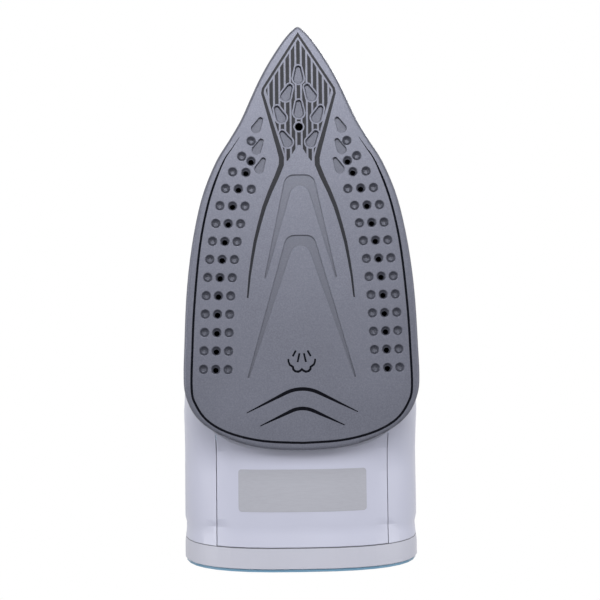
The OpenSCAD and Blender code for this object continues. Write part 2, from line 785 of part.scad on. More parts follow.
// The rod turns with the knob: the flat on its tip meters the water that reaches the chamber
module valve_rod() {
    tip_d = 1.8;
    tip_l = 6.4;
    color(steel) translate([0, rod_y, 0]) difference() {
        union() {
            translate([0, 0, rod_low]) cylinder(h = tip_l, d = tip_d, $fn = 24);
            translate([0, 0, rod_low + tip_l - 0.2]) cylinder(h = rod_top - rod_low - tip_l + 0.2, d = rod_d, $fn = 32);
            translate([0, 0, turret_top - stem_l - 4]) cylinder(h = 2, d = rod_d + 4, $fn = 32);
        }
        translate([-tip_d, tip_d / 6, rod_low - 1]) cube([2 * tip_d, tip_d, tip_l]);
    }
}

// ---------------------------------------------------------------- handle

module button_hole(side, clearance) {
    translate([side * pump_x, pump_y, button_base - 12]) linear_extrude(60) rounded(button_w + 2 * clearance, button_l + 2 * clearance, 4);
}
module rounded(w, l, r) {
    union() {
        square([w - 2 * r, l], center = true);
        square([w, l - 2 * r], center = true);
        for (x = [-1, 1], y = [-1, 1]) translate([x * (w / 2 - r), y * (l / 2 - r)]) circle(r = r, $fn = 24);
    }
}

module gland_axis() {
    translate(gland_at) rotate([gland_tilt, 0, 0]) children();
}
gland_swing = 25;
slot_w = 15.2;
module gland_cuts() {
    gland_axis() {
        translate([0, 0, -8]) cylinder(h = 12.2, d = collar_d + 0.2);
        translate([0, 0, -12]) cylinder(h = 12, d = 12);
        // Slot for the boot's swing to both sides
        rotate([90, 0, 0]) translate([0, 0, -slot_w / 2]) linear_extrude(slot_w) polygon([
            [-slot_w / 2 - 1, 0], [slot_w / 2 + 1, 0],
            [slot_w / 2 + 1 + 34 * tan(gland_swing), 34], [-slot_w / 2 - 1 - 34 * tan(gland_swing), 34]
        ]);
    }
}
module door_frame() {
    translate(door_at) rotate([-door_tilt, 0, 0]) children();
}

module handle_base() {
    color(white_shell) difference() {
        handle_form(0);
        difference() {
            handle_form(handle_wall);
            // Shelf under the two pumps
            translate([-30, pump_y - 12, pump_z - 40]) cube([60, 22, 40]);
        }
        difference() {
            pad_zone(0);
            handle_form(pad_t, pad_from, pad_to);
        }
        cover_zone();
        body_form(0, -far, 0);
        body_form(0, 90);
        above_heel(-far, 1);
        gland_cuts();
        door_cut();
        nozzle_hole();
        knob_cut();
        for (side = [-1, 1]) pump_at(side) cylinder(h = 40, d = pump_bore + 2 * pump_wall + 0.4);
    }
}

module handle_cover() {
    color(white_shell) difference() {
        union() {
            intersection() {
                difference() {
                    handle_form(0);
                    difference() {
                        handle_form(handle_wall);
                        gland_seat();
                    }
                }
                cover_zone();
            }
            // Turret under the steam knob
            translate([0, rod_y, head_z - 6]) cylinder(h = turret_top - head_z + 6, d = turret_d);
        }
        gland_cuts();
        door_cut();
        nozzle_hole();
        knob_cut();
        above_heel(-far, 1);
        for (side = [-1, 1]) button_hole(side, seat_gap);
        translate([0, lens_y, lens_top - 20]) cylinder(h = 40, d = lens_d + 0.2);
    }
}

// Seat of the gland's collar
module gland_seat() {
    gland_axis() translate([0, 0, -9]) cylinder(h = 13, d = boss_d);
}

module knob_cut() {
    translate([0, rod_y, turret_top - 20]) cylinder(h = 22, d = stem_d);
}
module door_cut() {
    door_frame() {
        translate([0, 0, -2.4]) linear_extrude(30) rounded(door_w + 2 * seat_gap, door_l + 2 * seat_gap, 3);
        translate([0, 0, -12]) linear_extrude(20) rounded(door_w - 5, door_l - 6, 3);
        translate([0, -door_l / 2 - 0.2, 0]) rotate([0, 90, 0]) cylinder(h = door_w + 4, d = 2.2, center = true, $fn = 24);
    }
}
module nozzle_hole() {
    translate(nozzle_at) rotate([nozzle_tilt - 90, 0, 0]) translate([0, 0, -14]) cylinder(h = 32, d = 10.2);
}

module pad_zone(gap) {
    intersection() {
        side_prism(cover_side(6, 12, -5 - gap, -30));
        translate([-far / 2, 6 + gap, 0]) cube([far, 86 - 2 * gap, far]);
    }
}
pad_from = 4;
pad_to = 14;
module grip_pad() {
    color(soft_grey) intersection() {
        pad_zone(0.1);
        difference() {
            handle_form(0, pad_from, pad_to);
            handle_form(pad_t, pad_from, pad_to);
        }
    }
}

// ---------------------------------------------------------------- dial and steam knob

module dial_collar() {
    color(white_cap) difference() {
        translate([0, dial_y, tank_top - 14]) cylinder(h = dial_z - seat_gap - tank_top + 14, d = dial_d + 3);
        body_form(0, 20, 150);
        translate([0, dial_y, 0]) cylinder(h = far, d = shaft_d + 2);
    }
}

module temperature_dial() {
    knurls = 36;
    color(accent_blue) translate([0, dial_y, dial_z]) difference() {
        union() {
            cylinder(h = dial_t - 2, d = dial_d, $fn = 96);
            translate([0, 0, dial_t - 2]) cylinder(h = 2, d1 = dial_d, d2 = dial_d - 5, $fn = 96);
        }
        translate([0, 0, -1]) cylinder(h = dial_t - 2, d = shaft_d + 2 * running);
        for (k = [0:knurls - 1]) rotate([0, 0, 360 * k / knurls]) translate([dial_d / 2 + 0.5, 0, -1])
            cylinder(h = dial_t + 2, d = 2.4, $fn = 16);
        translate([0, dial_d / 2 - 11, dial_t - 0.5]) cylinder(h = 1, d = 3, $fn = 24);
    }
}

module steam_knob() {
    ribs = 18;
    color(accent_blue) translate([0, rod_y, turret_top + seat_gap]) difference() {
        union() {
            cylinder(h = knob_t - 1.5, d = knob_d);
            translate([0, 0, knob_t - 1.5]) cylinder(h = 1.5, d1 = knob_d, d2 = knob_d - 3);
            translate([0, 0, -stem_l]) cylinder(h = stem_l + eps, d = stem_d - 2 * running);
        }
        translate([0, 0, -stem_l - 1]) cylinder(h = rod_top - turret_top - seat_gap + stem_l + 1, d = rod_d + 2 * running, $fn = 32);
        for (k = [0:ribs - 1]) rotate([0, 0, 360 * k / ribs]) translate([knob_d / 2 + 0.4, 0, -1])
            cylinder(h = knob_t + 2, d = 1.8, $fn = 16);
        translate([-0.6, 2, knob_t - 0.5]) cube([1.2, knob_d / 2 - 4, 1]);
    }
}

// ---------------------------------------------------------------- pumps and buttons

module pump_at(side) {
    translate([side * pump_x, pump_y, pump_z]) children();
}
module pump(side) {
    pump_at(side) {
        difference() {
            cylinder(h = pump_h, d = pump_bore + 2 * pump_wall);
            translate([0, 0, 1.5]) cylinder(h = pump_h, d = pump_bore);
        }
        translate([0, pump_bore / 2 + pump_wall / 2, 4]) rotate([-90, 0, 0]) cylinder(h = 4, d = hose_d - 1, $fn = 24);
    }
}
module button(side) {
    intersection() {
        translate([side * pump_x, pump_y, button_base]) linear_extrude(40) rounded(button_w, button_l, 4);
        handle_form(-button_rise, 8, 16);
    }
    translate([side * pump_x, pump_y, piston_z]) {
        cylinder(h = piston_h, d = pump_bore - 2 * running);
        cylinder(h = button_base - piston_z + eps, d = 5, $fn = 32);
    }
}
// A compression spring as a helix of round wire
module spring(side) {
    r = pump_bore / 2 - 2;
    wire = 0.8;
    turns = 3.5;
    z0 = 1.5 + wire / 2 + 0.1;
    rise = piston_z - pump_z - wire - 1.8;
    steps = 14;
    rings = [for (i = [0:steps * turns]) let(a = 360 * i / steps, z = z0 + rise * i / (steps * turns)) [
        for (k = [0:5]) let(q = 60 * k, rr = r + wire / 2 * cos(q)) [rr * cos(a), rr * sin(a), z + wire / 2 * sin(q)]
    ]];
    pump_at(side) loft(rings);
}
module spray_button() { color(accent_blue) button(1); }
module steam_button() { color(accent_blue) button(-1); }
module spray_pump() { color(white_cap) pump(1); }
module steam_pump() { color(white_cap) pump(-1); }
module spray_spring() { color(steel) spring(1); }
module steam_spring() { color(steel) spring(-1); }

// ---------------------------------------------------------------- hoses and nozzle

// A round hose along a smooth route
function unit(v) = v / norm(v);
module hose(route, d) {
    path = open_curve(route, 3);
    rings = [for (i = [0:len(path) - 1]) let(
        t = unit(path[min(i + 1, len(path) - 1)] - path[max(i - 1, 0)]),
        u = unit(cross([1, 0.02, 0], t)),
        v = cross(t, u)
    ) [for (k = [0:7]) path[i] + d / 2 * (cos(45 * k) * u + sin(45 * k) * v)]];
    loft([for (ring = rings) reversed(ring)]);
}
outlet = [pump_x, pump_y + pump_bore / 2 + pump_wall / 2 + 4.4, pump_z + 4];
nozzle_tilt = 10;
nozzle_inlet = -8.5;
inlet_at = nozzle_at + nozzle_inlet * [0, cos(nozzle_tilt), sin(nozzle_tilt)];
module spray_hose() {
    color("#d8dce0") hose([
        outlet, outlet + [1, 5, -0.5], [13.5, 128, head_z - 22], [13.5, 141, head_z - 40],
        [13, 152, head_z - 47], inlet_at + [8.5, -3, 1.2], inlet_at + [5.4, -0.2, 0.1], inlet_at + [2.8, 0, 0]
    ], hose_d - 0.6);
}
module steam_hose() {
    color("#d8dce0") hose([
        [-outlet[0], outlet[1], outlet[2]], [-outlet[0] - 1, outlet[1] + 5, outlet[2] - 0.5],
        [steam_drop[0], 128, head_z - 20], [steam_drop[0], steam_drop[1] - 3, head_z - 34],
        [steam_drop[0], steam_drop[1], head_z - 50], [steam_drop[0], steam_drop[1], head_z - 80],
        [steam_drop[0], steam_drop[1], chamber_h + gasket_t + 0.3]
    ], hose_d);
}

module spray_nozzle() {
    color(accent_blue) translate(nozzle_at) rotate([nozzle_tilt - 90, 0, 0]) difference() {
        union() {
            translate([0, 0, -11]) cylinder(h = 15, d = 10);
            translate([0, 0, 4]) cylinder(h = 3, d1 = 10, d2 = 5);
        }
        translate([0, 0, -9.6]) cylinder(h = 13, d = 3, $fn = 24);
        translate([0, 0, nozzle_inlet]) rotate([0, 90, 0]) cylinder(h = 6, d = hose_d - 0.4, $fn = 24);
        translate([0, 0, 3]) cylinder(h = 8, d = 1, $fn = 16);
    }
}

// ---------------------------------------------------------------- filler door

module filler_door() {
    color(accent_blue) door_frame() difference() {
        union() {
            translate([0, 0, -1.8]) linear_extrude(1.8) rounded(door_w, door_l, 3);
            translate([0, -door_l / 2 - 0.2, 0]) rotate([0, 90, 0]) cylinder(h = door_w - 8, d = 3.6, center = true, $fn = 32);
        }
        translate([0, -door_l / 2 - 0.2, 0]) rotate([0, 90, 0]) cylinder(h = door_w, d = 1.6 + 2 * running, center = true, $fn = 24);
        translate([0, door_l / 2 - 4, -0.5]) cube([8, 1.4, 2], center = true);
    }
}
module filler_pin() {
    color(steel) door_frame() translate([0, -door_l / 2 - 0.2, 0]) rotate([0, 90, 0])
        cylinder(h = door_w + 3.6, d = 1.6, center = true, $fn = 24);
}

// ---------------------------------------------------------------- indicator, terminals, gland

module indicator_lens() {
    color(amber) translate([0, lens_y, lens_top]) difference() {
        union() {
            translate([0, 0, -12]) cylinder(h = 12.4, d = lens_d);
            intersection() {
                translate([0, 0, 0.4 + 0.9 - 10]) sphere(r = 10);
                translate([0, 0, 0.3]) cylinder(h = 3, d = lens_d);
            }
        }
        translate([0, 0, -13]) cylinder(h = 11, d = lens_d - 2.4);
    }
}
module indicator_lamp() {
    color("#e8e4da") translate([0, lens_y, lens_top - 12]) {
        cylinder(h = 6.4, d = lens_d - 3);
        translate([0, 0, 6.4]) sphere(d = lens_d - 3);
    }
}

block_y = -24;
block_z = 21;
block_hole = 13;
module terminal_block() {
    color("#ece9e0") translate([0, block_y, block_z]) difference() {
        translate([-19, -8, 0]) cube([38, 16, 11]);
        for (x = [-9, 0, 9]) {
            translate([x, 10, 4.5]) rotate([90, 0, 0]) cylinder(h = 20, d = 4, $fn = 24);
            for (y = [-4.5, 4.5]) translate([x, y, 4.5]) cylinder(h = 10, d = 4, $fn = 24);
        }
        for (x = [-block_hole, block_hole]) translate([x, 0, -1]) cylinder(h = 13, d = 2.9, $fn = 24);
    }
}
module terminal_screws() {
    color(brass) {
        for (x = [-9, 0, 9], y = [-4.5, 4.5]) translate([x, block_y + y, block_z + 9]) pan_screw(3, 2, 3.6, 1.4);
        for (x = [-block_hole, block_hole]) translate([x, block_y, block_z + 11]) pan_screw(15, 2.4, 4.6, 1.6);
    }
}

module gland_collar() {
    color(phenolic) gland_axis() difference() {
        translate([0, 0, -8]) cylinder(h = 12, d = collar_d);
        sphere(d = ball_d + 2 * running, $fn = 64);
        translate([0, 0, -10]) cylinder(h = 10, d = 11);
    }
}

module cord_gland() {
    ribs = 6;
    pitch = (boot_l - 18) / ribs;
    color(black) gland_axis() difference() {
        union() {
            sphere(d = ball_d, $fn = 64);
            cylinder(h = 17, d = 10);
            rotate_extrude() polygon(concat(
                [[0, 16], [6.6, 16]],
                [for (k = [0:ribs - 1]) let(z = 17.5 + k * pitch, r = mix(6.6, 5.2, k / ribs))
                    each [[r, z], [r, z + pitch - 1.2], [r - 0.9, z + pitch - 1.1], [r - 0.9, z + pitch - 0.1]]],
                [[5.2, boot_l - 0.5], [4.9, boot_l], [0, boot_l]]
            ));
        }
        translate([0, 0, -20]) cylinder(h = 80, d = cord_bore);
    }
}

// ---------------------------------------------------------------- standing on the heel

heel_centre = 48;
module place() {
    translate([0, -heel_centre, 0]) rotate([-lean, 0, 0]) rotate([90, 0, 180])
        translate([0, heel_reach, -heel_lift]) children();
}

place() soleplate();
place() heating_element();
place() chamber_gasket();
place() chamber_cover();
place() chamber_screws();
place() thermostat();
place() thermal_fuse();
place() heat_shield();
place() lower_housing();
place() rear_panel();
place() heel_cap();
place() heel_foot();
place() heel_screws();
place() water_tank();
place() valve_seat();
place() handle_base();
place() handle_cover();
place() grip_pad();
place() dial_collar();
place() temperature_dial();
place() thermostat_shaft();
place() steam_knob();
place() valve_rod();
place() spray_button();
place() spray_pump();
place() spray_spring();
place() steam_button();
place() steam_pump();
place() steam_spring();
place() spray_hose();
place() steam_hose();
place() spray_nozzle();
place() filler_door();
place() filler_pin();
place() indicator_lens();
place() indicator_lamp();
place() terminal_block();
place() terminal_screws();
place() gland_collar();
place() cord_gland();
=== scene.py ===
"""Looks of a steam iron that stands on its heel: finishes, sole print, plate, marks and stage."""

import json
import math

import bpy
from mathutils import Matrix, Vector

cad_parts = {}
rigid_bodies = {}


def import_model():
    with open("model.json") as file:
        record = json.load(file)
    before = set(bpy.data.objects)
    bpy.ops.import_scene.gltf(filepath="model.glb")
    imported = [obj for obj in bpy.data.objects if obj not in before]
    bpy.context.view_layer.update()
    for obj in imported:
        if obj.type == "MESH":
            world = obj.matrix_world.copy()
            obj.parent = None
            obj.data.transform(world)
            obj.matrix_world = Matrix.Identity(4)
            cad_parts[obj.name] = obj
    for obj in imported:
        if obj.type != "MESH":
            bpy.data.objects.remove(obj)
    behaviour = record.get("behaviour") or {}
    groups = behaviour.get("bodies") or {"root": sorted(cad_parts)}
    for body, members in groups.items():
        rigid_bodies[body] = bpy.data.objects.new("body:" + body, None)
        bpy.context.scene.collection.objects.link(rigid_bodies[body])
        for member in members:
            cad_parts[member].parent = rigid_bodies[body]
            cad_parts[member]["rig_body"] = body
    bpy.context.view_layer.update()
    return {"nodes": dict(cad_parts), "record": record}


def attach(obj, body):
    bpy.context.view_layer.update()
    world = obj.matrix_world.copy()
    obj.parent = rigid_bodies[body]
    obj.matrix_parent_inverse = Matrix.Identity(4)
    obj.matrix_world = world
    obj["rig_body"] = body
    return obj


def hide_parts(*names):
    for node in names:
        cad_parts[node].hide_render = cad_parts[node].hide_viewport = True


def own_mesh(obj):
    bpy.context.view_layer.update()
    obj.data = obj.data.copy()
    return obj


bl_info = {
    "name": "Steam Iron Looks",
    "version": (1, 0, 0),
    "blender": (4, 5, 0),
    "location": "3D Viewport > Sidebar > Iron",
    "description": "Dresses a steam iron with its finishes, sole print, rating plate and marks",
    "category": "Object",
}

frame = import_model()
NODES = frame["nodes"]
MOUNTS = {mount["name"]: mount for mount in frame["record"]["mounts"]}
ROOT = "iron"
MM = 0.001
UP = Vector((0, 0, 1))
WHITE = (1, 1, 1, 1)

# -------------------- drawing sizes, all in millimetres

# The sole's own coordinates: x across it, y from its rear edge to its tip, lift out of its ironing face.
# The mount on that face lies this far from the rear edge.
MOUNT_FROM_REAR = 66

# Right half of the border line, from its top end down to the middle
BORDER_HALF = [
    (30.2, 157.6), (33.9, 152), (38.4, 145), (44.3, 130), (48.5, 113.4), (51.3, 95), (53.5, 70),
    (54.4, 51), (54.9, 31.3), (53, 23.3), (47, 15), (36, 8.8), (19.7, 4.8), (0, 3.6),
]
# Its width at both ends, and how many evenly spread widths between them are full
BORDER_END_WIDTH, BORDER_FULL_STEPS = 0.2, 14

# The line round the diamond and down both sides of the arches: x, y and width
DIAMOND_LINE = [
    (0, 210.6, 1.25), (9.3, 196.1, 1.25), (17.9, 182.6, 1.25), (18.3, 180.2, 1.35), (13.9, 164.5, 1.85),
    (10.4, 152.3, 2.35), (9.0, 147.0, 2.6), (9.1, 143.4, 2.6), (11.4, 137.5, 2.4), (14.9, 129.8, 2.2),
    (18.0, 121.8, 2.0), (20.6, 112.8, 1.8), (22.8, 104.0, 1.6), (24.3, 95.5, 1.4), (25.6, 87.0, 1.15),
    (26.7, 76.0, 0.8),
]
DIAMOND_APEX = (0, 210.6)
DIAMOND_CORNER = (18.6, 181.5)
DIAMOND_NECK = (9.2, 148)

# The stripes end below at an upturned V and at a level
NOTCH_TOP, NOTCH_SLOPE, STRIPES_END = 154.4, 1.55, 145.4
# How far they stop short of the diamond's line at their tops and feet, in bare margins
TOP_STOP, FOOT_STOP = 3.2, 8.6
STRIPES_EACH_SIDE = 6

# Each chevron: its foot, the height where its two legs would meet, and the radius of its bend
CHEVRONS = [((27.7, 18.7), 32.5, 18.7), ((21, 12.2), 22.0, 13.1)]
CHEVRON_WIDTHS = [0.45, 1.1, 1.75, 1.8, 1.75, 1.1, 0.45]

# The steam sign: right half of the cloud's underside, the right jets over it, and its middle's height
CLOUD_HALF = [
    (6.7, 45.3), (6.6, 43.9), (6.0, 42.4), (4.4, 41.3), (4.3, 40.2), (3.4, 39.2), (1.9, 38.9),
    (0.8, 39.4), (0, 40.1),
]
CLOUD_WIDTHS = [0.9, 1.1, 1.1, 1.1, 0.9]
JETS = [((2.9, 49.5), (4.5, 46.6)), ((1.1, 48.1), (2.1, 43.7))]
JET_WIDTH = 0.95
STEAM_MIDDLE = 44.2

# Drops inside the diamond and beside it: x, y and turn in degrees
DROPS = [(0, 190.3, 0), (0, 172.6, 0), (5.5, 181, 25), (10, 169.9, -25), (7.2, 157.2, -30)]
OUTER_DROPS = [(20.6, 164.3, 27), (20.4, 153.3, 27), (19.3, 143.6, 25)]
DROP_LENGTH, DROP_BIG, DROP_SMALL = 8.6, 2.3, 1.15
# Width of a drop's sloping wall inside and beside the diamond, and the depth of its floor
DROP_LIP, OUTER_DROP_LIP, DROP_FLOOR = 0.35, 0.08, 1.25

# The vent inside the diamond: x, y and radius
TIP_VENT = (0, 162.8, 2.0)
# A vent and a dimple that the drops beside the diamond would cut, and the plugs that fill them
CROWDED = [(22.12, 147.6), (20.18, 139.15)]
PLUG_RADIUS, PLUG_DEPTH = 2.75, 3
# The vent's place clear of the drops, and its bore, which lies a little below the middle of its dimple
VENT_PLACE = (24.4, 145.3)
VENT_RADIUS, VENT_DROP, VENT_DEPTH = 1.35, 0.4, 7
# The dimple's depth, and its radius at the floor and at the mouth
DIMPLE_DEPTH, DIMPLE_FLOOR, DIMPLE_MOUTH = 1.3, 1.34, 2.48
# Tools start this far over the face they cut, and ink lies this far off it
OVER_FACE, INK_GAP = 0.1, 0.01

# Depths that tell a recess's floor, its slope, an arch's floor and a vent's bore from the ironing face
FLOOR_DEPTH, SLOPE_DEPTH, ARCH_DEPTH, BORE_DEPTH = 1.0, 0.12, 0.5, 2.5
# How far a recess keeps from the rim, which is measured in bands along the sole
RIM_WIDTH, RIM_BAND = 3.5, 5
# The sole's material slots for the painted shade in recesses, bores and arches
IN_RECESS, IN_BORE, IN_ARCH = 1, 2, 3

# The rating plate: its middle below the sole's rear edge, its corners, and the fields of its grid
PLATE_Y, PLATE_CORNER, PLATE_COLUMNS, PLATE_ROWS = -22.4, 1.6, 24, 6
# Where it is drawn off the sole's plane, how far it is pressed at most, and its lift off the panel
PLATE_START, PLATE_REACH, PLATE_LIFT = 4, 30, 0.12

# Marks on the controls: lift off the skin, stroke width, and how far off they are printed from
MARK_LIFT, MARK_STROKE, MARK_GAP = 0.04, 0.8, 2.0
# Scale of the steam sign on a button
SMALL_STEAM = 0.7
# The dial's ring of dots, and the angle in degrees from one dot to the next
DOTS_RADIUS, DOT_RADIUS, DOT_SWING = 18.5, 0.85, 8.0
# The wedge inside it: radius, first angle and sweep in degrees, and its width at both ends
WEDGE_RADIUS, WEDGE_FROM, WEDGE_SWEEP, WEDGE_WIDTHS = 13, 65, 250, [0.3, 2.2]
# Strokes of the spray's fan, and the place and radius of its nozzle
FAN = [((0, -1.2), (0, 4.2)), ((1.0, -1.6), (3.4, 3.2)), ((-1.0, -1.6), (-3.4, 3.2))]
FAN_NOZZLE = (0, -3.6, 1.1)
# Where the tank's level line is printed from, how far it turns towards the handle, and half its length
LEVEL_PLACE, LEVEL_LEAN, LEVEL_HALF = (56, 12, 165), 0.35, 6
# The height of its word, and the word's rise over it
WORD_HEIGHT, WORD_RISE = 4.5, 1.5

# -------------------- stage sizes, in metres, watts and degrees

FLOOR_SIZE = 8
LAMP_AIM = Vector((0, 0, 0.14))
# Each lamp: name, place, side length and power
LAMPS = [
    ("key", (0.0, -0.92, 0.83), 0.5, 8.4),
    ("left", (-1.2, -0.5, 0.35), 0.8, 7.5),
    ("right", (1.2, -0.5, 0.35), 0.8, 6.5),
    ("back", (0.3, 1.2, 0.9), 0.9, 22.0),
]
SOFT_LIGHT, PLAIN_WHITE = 0.3, 1.0
CAMERA_AZIMUTH, CAMERA_HEIGHT, CAMERA_ROLL = -1.8, 3.0, -0.45
CAMERA_DISTANCE = 0.700
# From the middle of the sole's rear edge to the point that the camera looks at
CAMERA_TARGET = Vector((0, 0.040, 0.077))
# Sensor width and focal length in millimetres, and the shifts as shares of the sensor's width
CAMERA_SENSOR, CAMERA_LENS = 36, 80.34
CAMERA_SHIFT_X, CAMERA_SHIFT_Y = 0.0015, -0.015

# -------------------- places on the iron

ACROSS = Vector((1, 0, 0))
OUT = Vector(MOUNTS["soleplate_face"]["axis"]).normalized()
ALONG = OUT.cross(ACROSS)
REAR_EDGE = Vector(MOUNTS["soleplate_face"]["pos_m"]) - ALONG * MOUNT_FROM_REAR * MM


def corners_of(node):
    """The places of a CAD node's vertices."""
    return [NODES[node].matrix_world @ vertex.co for vertex in NODES[node].data.vertices]


# The height of the painted shadow line at the joint round the heel cap, just below the cap's top
SEAM_HEIGHT = max(corner.z for corner in corners_of("heel_cap")) / MM - 0.2


def on_sole(x, y, lift=0.0):
    """A point in metres from millimetres across, along and off the ironing face."""
    return REAR_EDGE + (ACROSS * x + ALONG * y + OUT * lift) * MM


def sole_matrix(x=0.0, y=0.0, lift=0.0):
    """Turns a flat drawing in millimetres into its place on the ironing face."""
    turn = Matrix((ACROSS, ALONG, OUT)).transposed().to_4x4()
    return Matrix.Translation(on_sole(x, y, lift)) @ turn @ Matrix.Scale(MM, 4)


def facing(at, normal, up):
    """Turns a flat drawing in metres to face along normal from the point at."""
    return Matrix.Translation(at) @ Matrix((up.cross(normal), up, normal)).transposed().to_4x4()


def over_face(node, normal, up):
    """Turns a flat drawing to face along normal, a little over the middle of a node's side."""
    side = up.cross(normal)
    corners = corners_of(node)

    def reach(direction, share):
        spans = [corner.dot(direction) for corner in corners]
        return min(spans) + (max(spans) - min(spans)) * share

    middle = side * reach(side, 0.5) + up * reach(up, 0.5)
    return facing(middle + normal * (reach(normal, 1) + MARK_GAP * MM), normal, up)


# -------------------- colours and shader nodes


def linear(hex_colour):
    """A hex sRGB colour as the linear RGBA that Blender's sockets take."""
    channels = [int(hex_colour[i : i + 2], 16) / 255 for i in (1, 3, 5)]
    return [c / 12.92 if c <= 0.04045 else ((c + 0.055) / 1.055) ** 2.4 for c in channels] + [1.0]


def per(size_mm):
    """The scale of a pattern whose features measure size_mm."""
    return 1000.0 / size_mm


def add(tree, kind, inputs=None, **settings):
    """Adds a shader node, sets it up, and fills its inputs with values or other nodes' outputs."""
    made = tree.nodes.new(kind)
    for key, value in settings.items():
        setattr(made, key, value)
    for key, value in (inputs or {}).items():
        if isinstance(value, bpy.types.NodeSocket):
            tree.links.new(value, made.inputs[key])
        else:
            made.inputs[key].default_value = value
    return made


def noise(tree, place, size_mm, detail=2.0, roughness=0.5):
    """A cloudy pattern with features of size_mm."""
    return add(tree, "ShaderNodeTexNoise", {
        "Vector": place, "Scale": per(size_mm), "Detail": detail, "Roughness": roughness,
    }).outputs["Fac"]


def spread(tree, pattern, low, high, start=0.3, end=0.7):
    """Spreads a pattern's values between start and end over low to high."""
    return add(tree, "ShaderNodeMapRange", {
        "Value": pattern, "From Min": start, "From Max": end, "To Min": low, "To Max": high,
    }).outputs["Result"]


def shaded(tree, colour, factor):
    """A colour made darker or lighter by a factor."""
    scaled = add(tree, "ShaderNodeVectorMath", {0: colour, "Scale": factor}, operation="SCALE")
    return scaled.outputs["Vector"]


def stretched(tree, place, stretch):
    """Coordinates stretched by their own factor along each axis."""
    return add(tree, "ShaderNodeMapping", {"Vector": place, "Scale": stretch}).outputs["Vector"]


def soft_edges(tree, radius_mm, samples):
    """Normals that round every edge by a radius."""
    return add(tree, "ShaderNodeBevel", {"Radius": radius_mm * MM}, samples=samples).outputs["Normal"]


def bumps(tree, pattern, strength, height_mm, normal=None):
    """Normals of a surface that a pattern makes uneven."""
    inputs = {"Height": pattern, "Strength": strength, "Distance": height_mm * MM}
    if normal is not None:
        inputs["Normal"] = normal
    return add(tree, "ShaderNodeBump", inputs).outputs["Normal"]


def new_finish(name):
    """An empty material with its output node and the piece's own coordinates."""
    made = bpy.data.materials.new(name)
    made.use_nodes = True
    tree = made.node_tree
    tree.nodes.clear()
    output = add(tree, "ShaderNodeOutputMaterial")
    place = add(tree, "ShaderNodeTexCoord").outputs["Object"]
    return made, tree, output, place


def close_finish(tree, output, inputs):
    """Ends a material with a principled shader."""
    shader = add(tree, "ShaderNodeBsdfPrincipled", inputs)
    tree.links.new(shader.outputs["BSDF"], output.inputs["Surface"])


def background_seen(tree):
    """1 for the rays that show the background: straight, mirrored or through clear plastic."""
    path = add(tree, "ShaderNodeLightPath")
    direct = add(tree, "ShaderNodeMath", {
        0: path.outputs["Is Camera Ray"], 1: path.outputs["Is Glossy Ray"],
    }, operation="MAXIMUM")
    any_way = add(tree, "ShaderNodeMath", {
        0: direct.outputs["Value"], 1: path.outputs["Is Transmission Ray"],
    }, operation="MAXIMUM")
    return any_way.outputs["Value"]


# -------------------- finishes


def ceramic_coat(name, colour, grit_colour):
    """Ceramic-filled coat sprayed on cast aluminium: satin, with a fine pale grit in it."""
    made, tree, output, place = new_finish(name)
    grit = noise(tree, place, 0.7, detail=3.0, roughness=0.6)
    flow = noise(tree, place, 45)
    mixed = add(tree, "ShaderNodeMix", {
        "Factor": spread(tree, grit, 0.0, 0.35, start=0.42, end=0.72),
        "A": linear(colour), "B": linear(grit_colour),
    }, data_type="RGBA").outputs["Result"]
    close_finish(tree, output, {
        "Base Color": shaded(tree, mixed, spread(tree, flow, 0.96, 1.04)),
        "Roughness": spread(tree, flow, 0.38, 0.44),
        "Metallic": 0.5,
        "Normal": bumps(tree, grit, 0.12, 0.06, soft_edges(tree, 0.5, 6)),
    })
    return made


def moulded_abs(name, colour, roughness, grain_mm=0.55, seam_mm=None):
    """Injection-moulded ABS: even colour, spark-eroded mould grain, slightly polished by handling.

    At seam_mm above the floor a thin dark line is painted as the shadow in the joint's gap."""
    made, tree, output, place = new_finish(name)
    drift = noise(tree, place, 60, detail=3.0)
    grain = noise(tree, place, grain_mm)
    rubbed = noise(tree, place, 18, detail=4.0)
    base = shaded(tree, linear(colour)[:3], spread(tree, drift, 0.975, 1.02))
    # Painted shadow: a thin dark line at seam_mm stands for the shadow in the joint's gap.
    if seam_mm:
        height = add(tree, "ShaderNodeSeparateXYZ", {"Vector": place}).outputs["Z"]
        line = add(tree, "ShaderNodeMath", {
            0: height, 1: seam_mm * MM, 2: 0.22 * MM,
        }, operation="COMPARE")
        base = add(tree, "ShaderNodeMix", {
            "Factor": line.outputs["Value"], "A": base, "B": linear("#5f616b"),
        }, data_type="RGBA").outputs["Result"]
    close_finish(tree, output, {
        "Base Color": base,
        "Roughness": spread(tree, rubbed, roughness - 0.05, roughness + 0.06),
        "IOR": 1.53,
        "Normal": bumps(tree, grain, 0.1, 0.05, soft_edges(tree, 0.35, 4)),
    })
    return made


def clear_san(name, colour):
    """Tinted transparent SAN: glossy, and slightly wavy where the melt cooled."""
    made, tree, output, place = new_finish(name)
    waves = noise(tree, place, 22)
    haze = noise(tree, place, 3, detail=4.0)
    close_finish(tree, output, {
        "Base Color": linear(colour),
        "Roughness": spread(tree, haze, 0.06, 0.16),
        "IOR": 1.57,
        "Transmission Weight": 0.9,
        "Normal": bumps(tree, waves, 0.15, 0.4),
    })
    return made


def soft_rubber(name, colour, roughness, dot_mm, dot_height_mm):
    """Soft rubber or TPE with a fine moulded dot grain; it scatters light and has no sharp highlight."""
    made, tree, output, place = new_finish(name)
    dots = add(tree, "ShaderNodeTexVoronoi", {"Vector": place, "Scale": per(dot_mm)}, feature="F1")
    dust = noise(tree, place, 9, detail=5.0)
    close_finish(tree, output, {
        "Base Color": shaded(tree, linear(colour)[:3], spread(tree, dust, 0.92, 1.08)),
        "Roughness": roughness,
        "IOR": 1.45,
        "Sheen Weight": 0.15,
        "Sheen Roughness": 0.5,
        "Normal": bumps(tree, dots.outputs["Distance"], 0.3, dot_height_mm),
    })
    return made


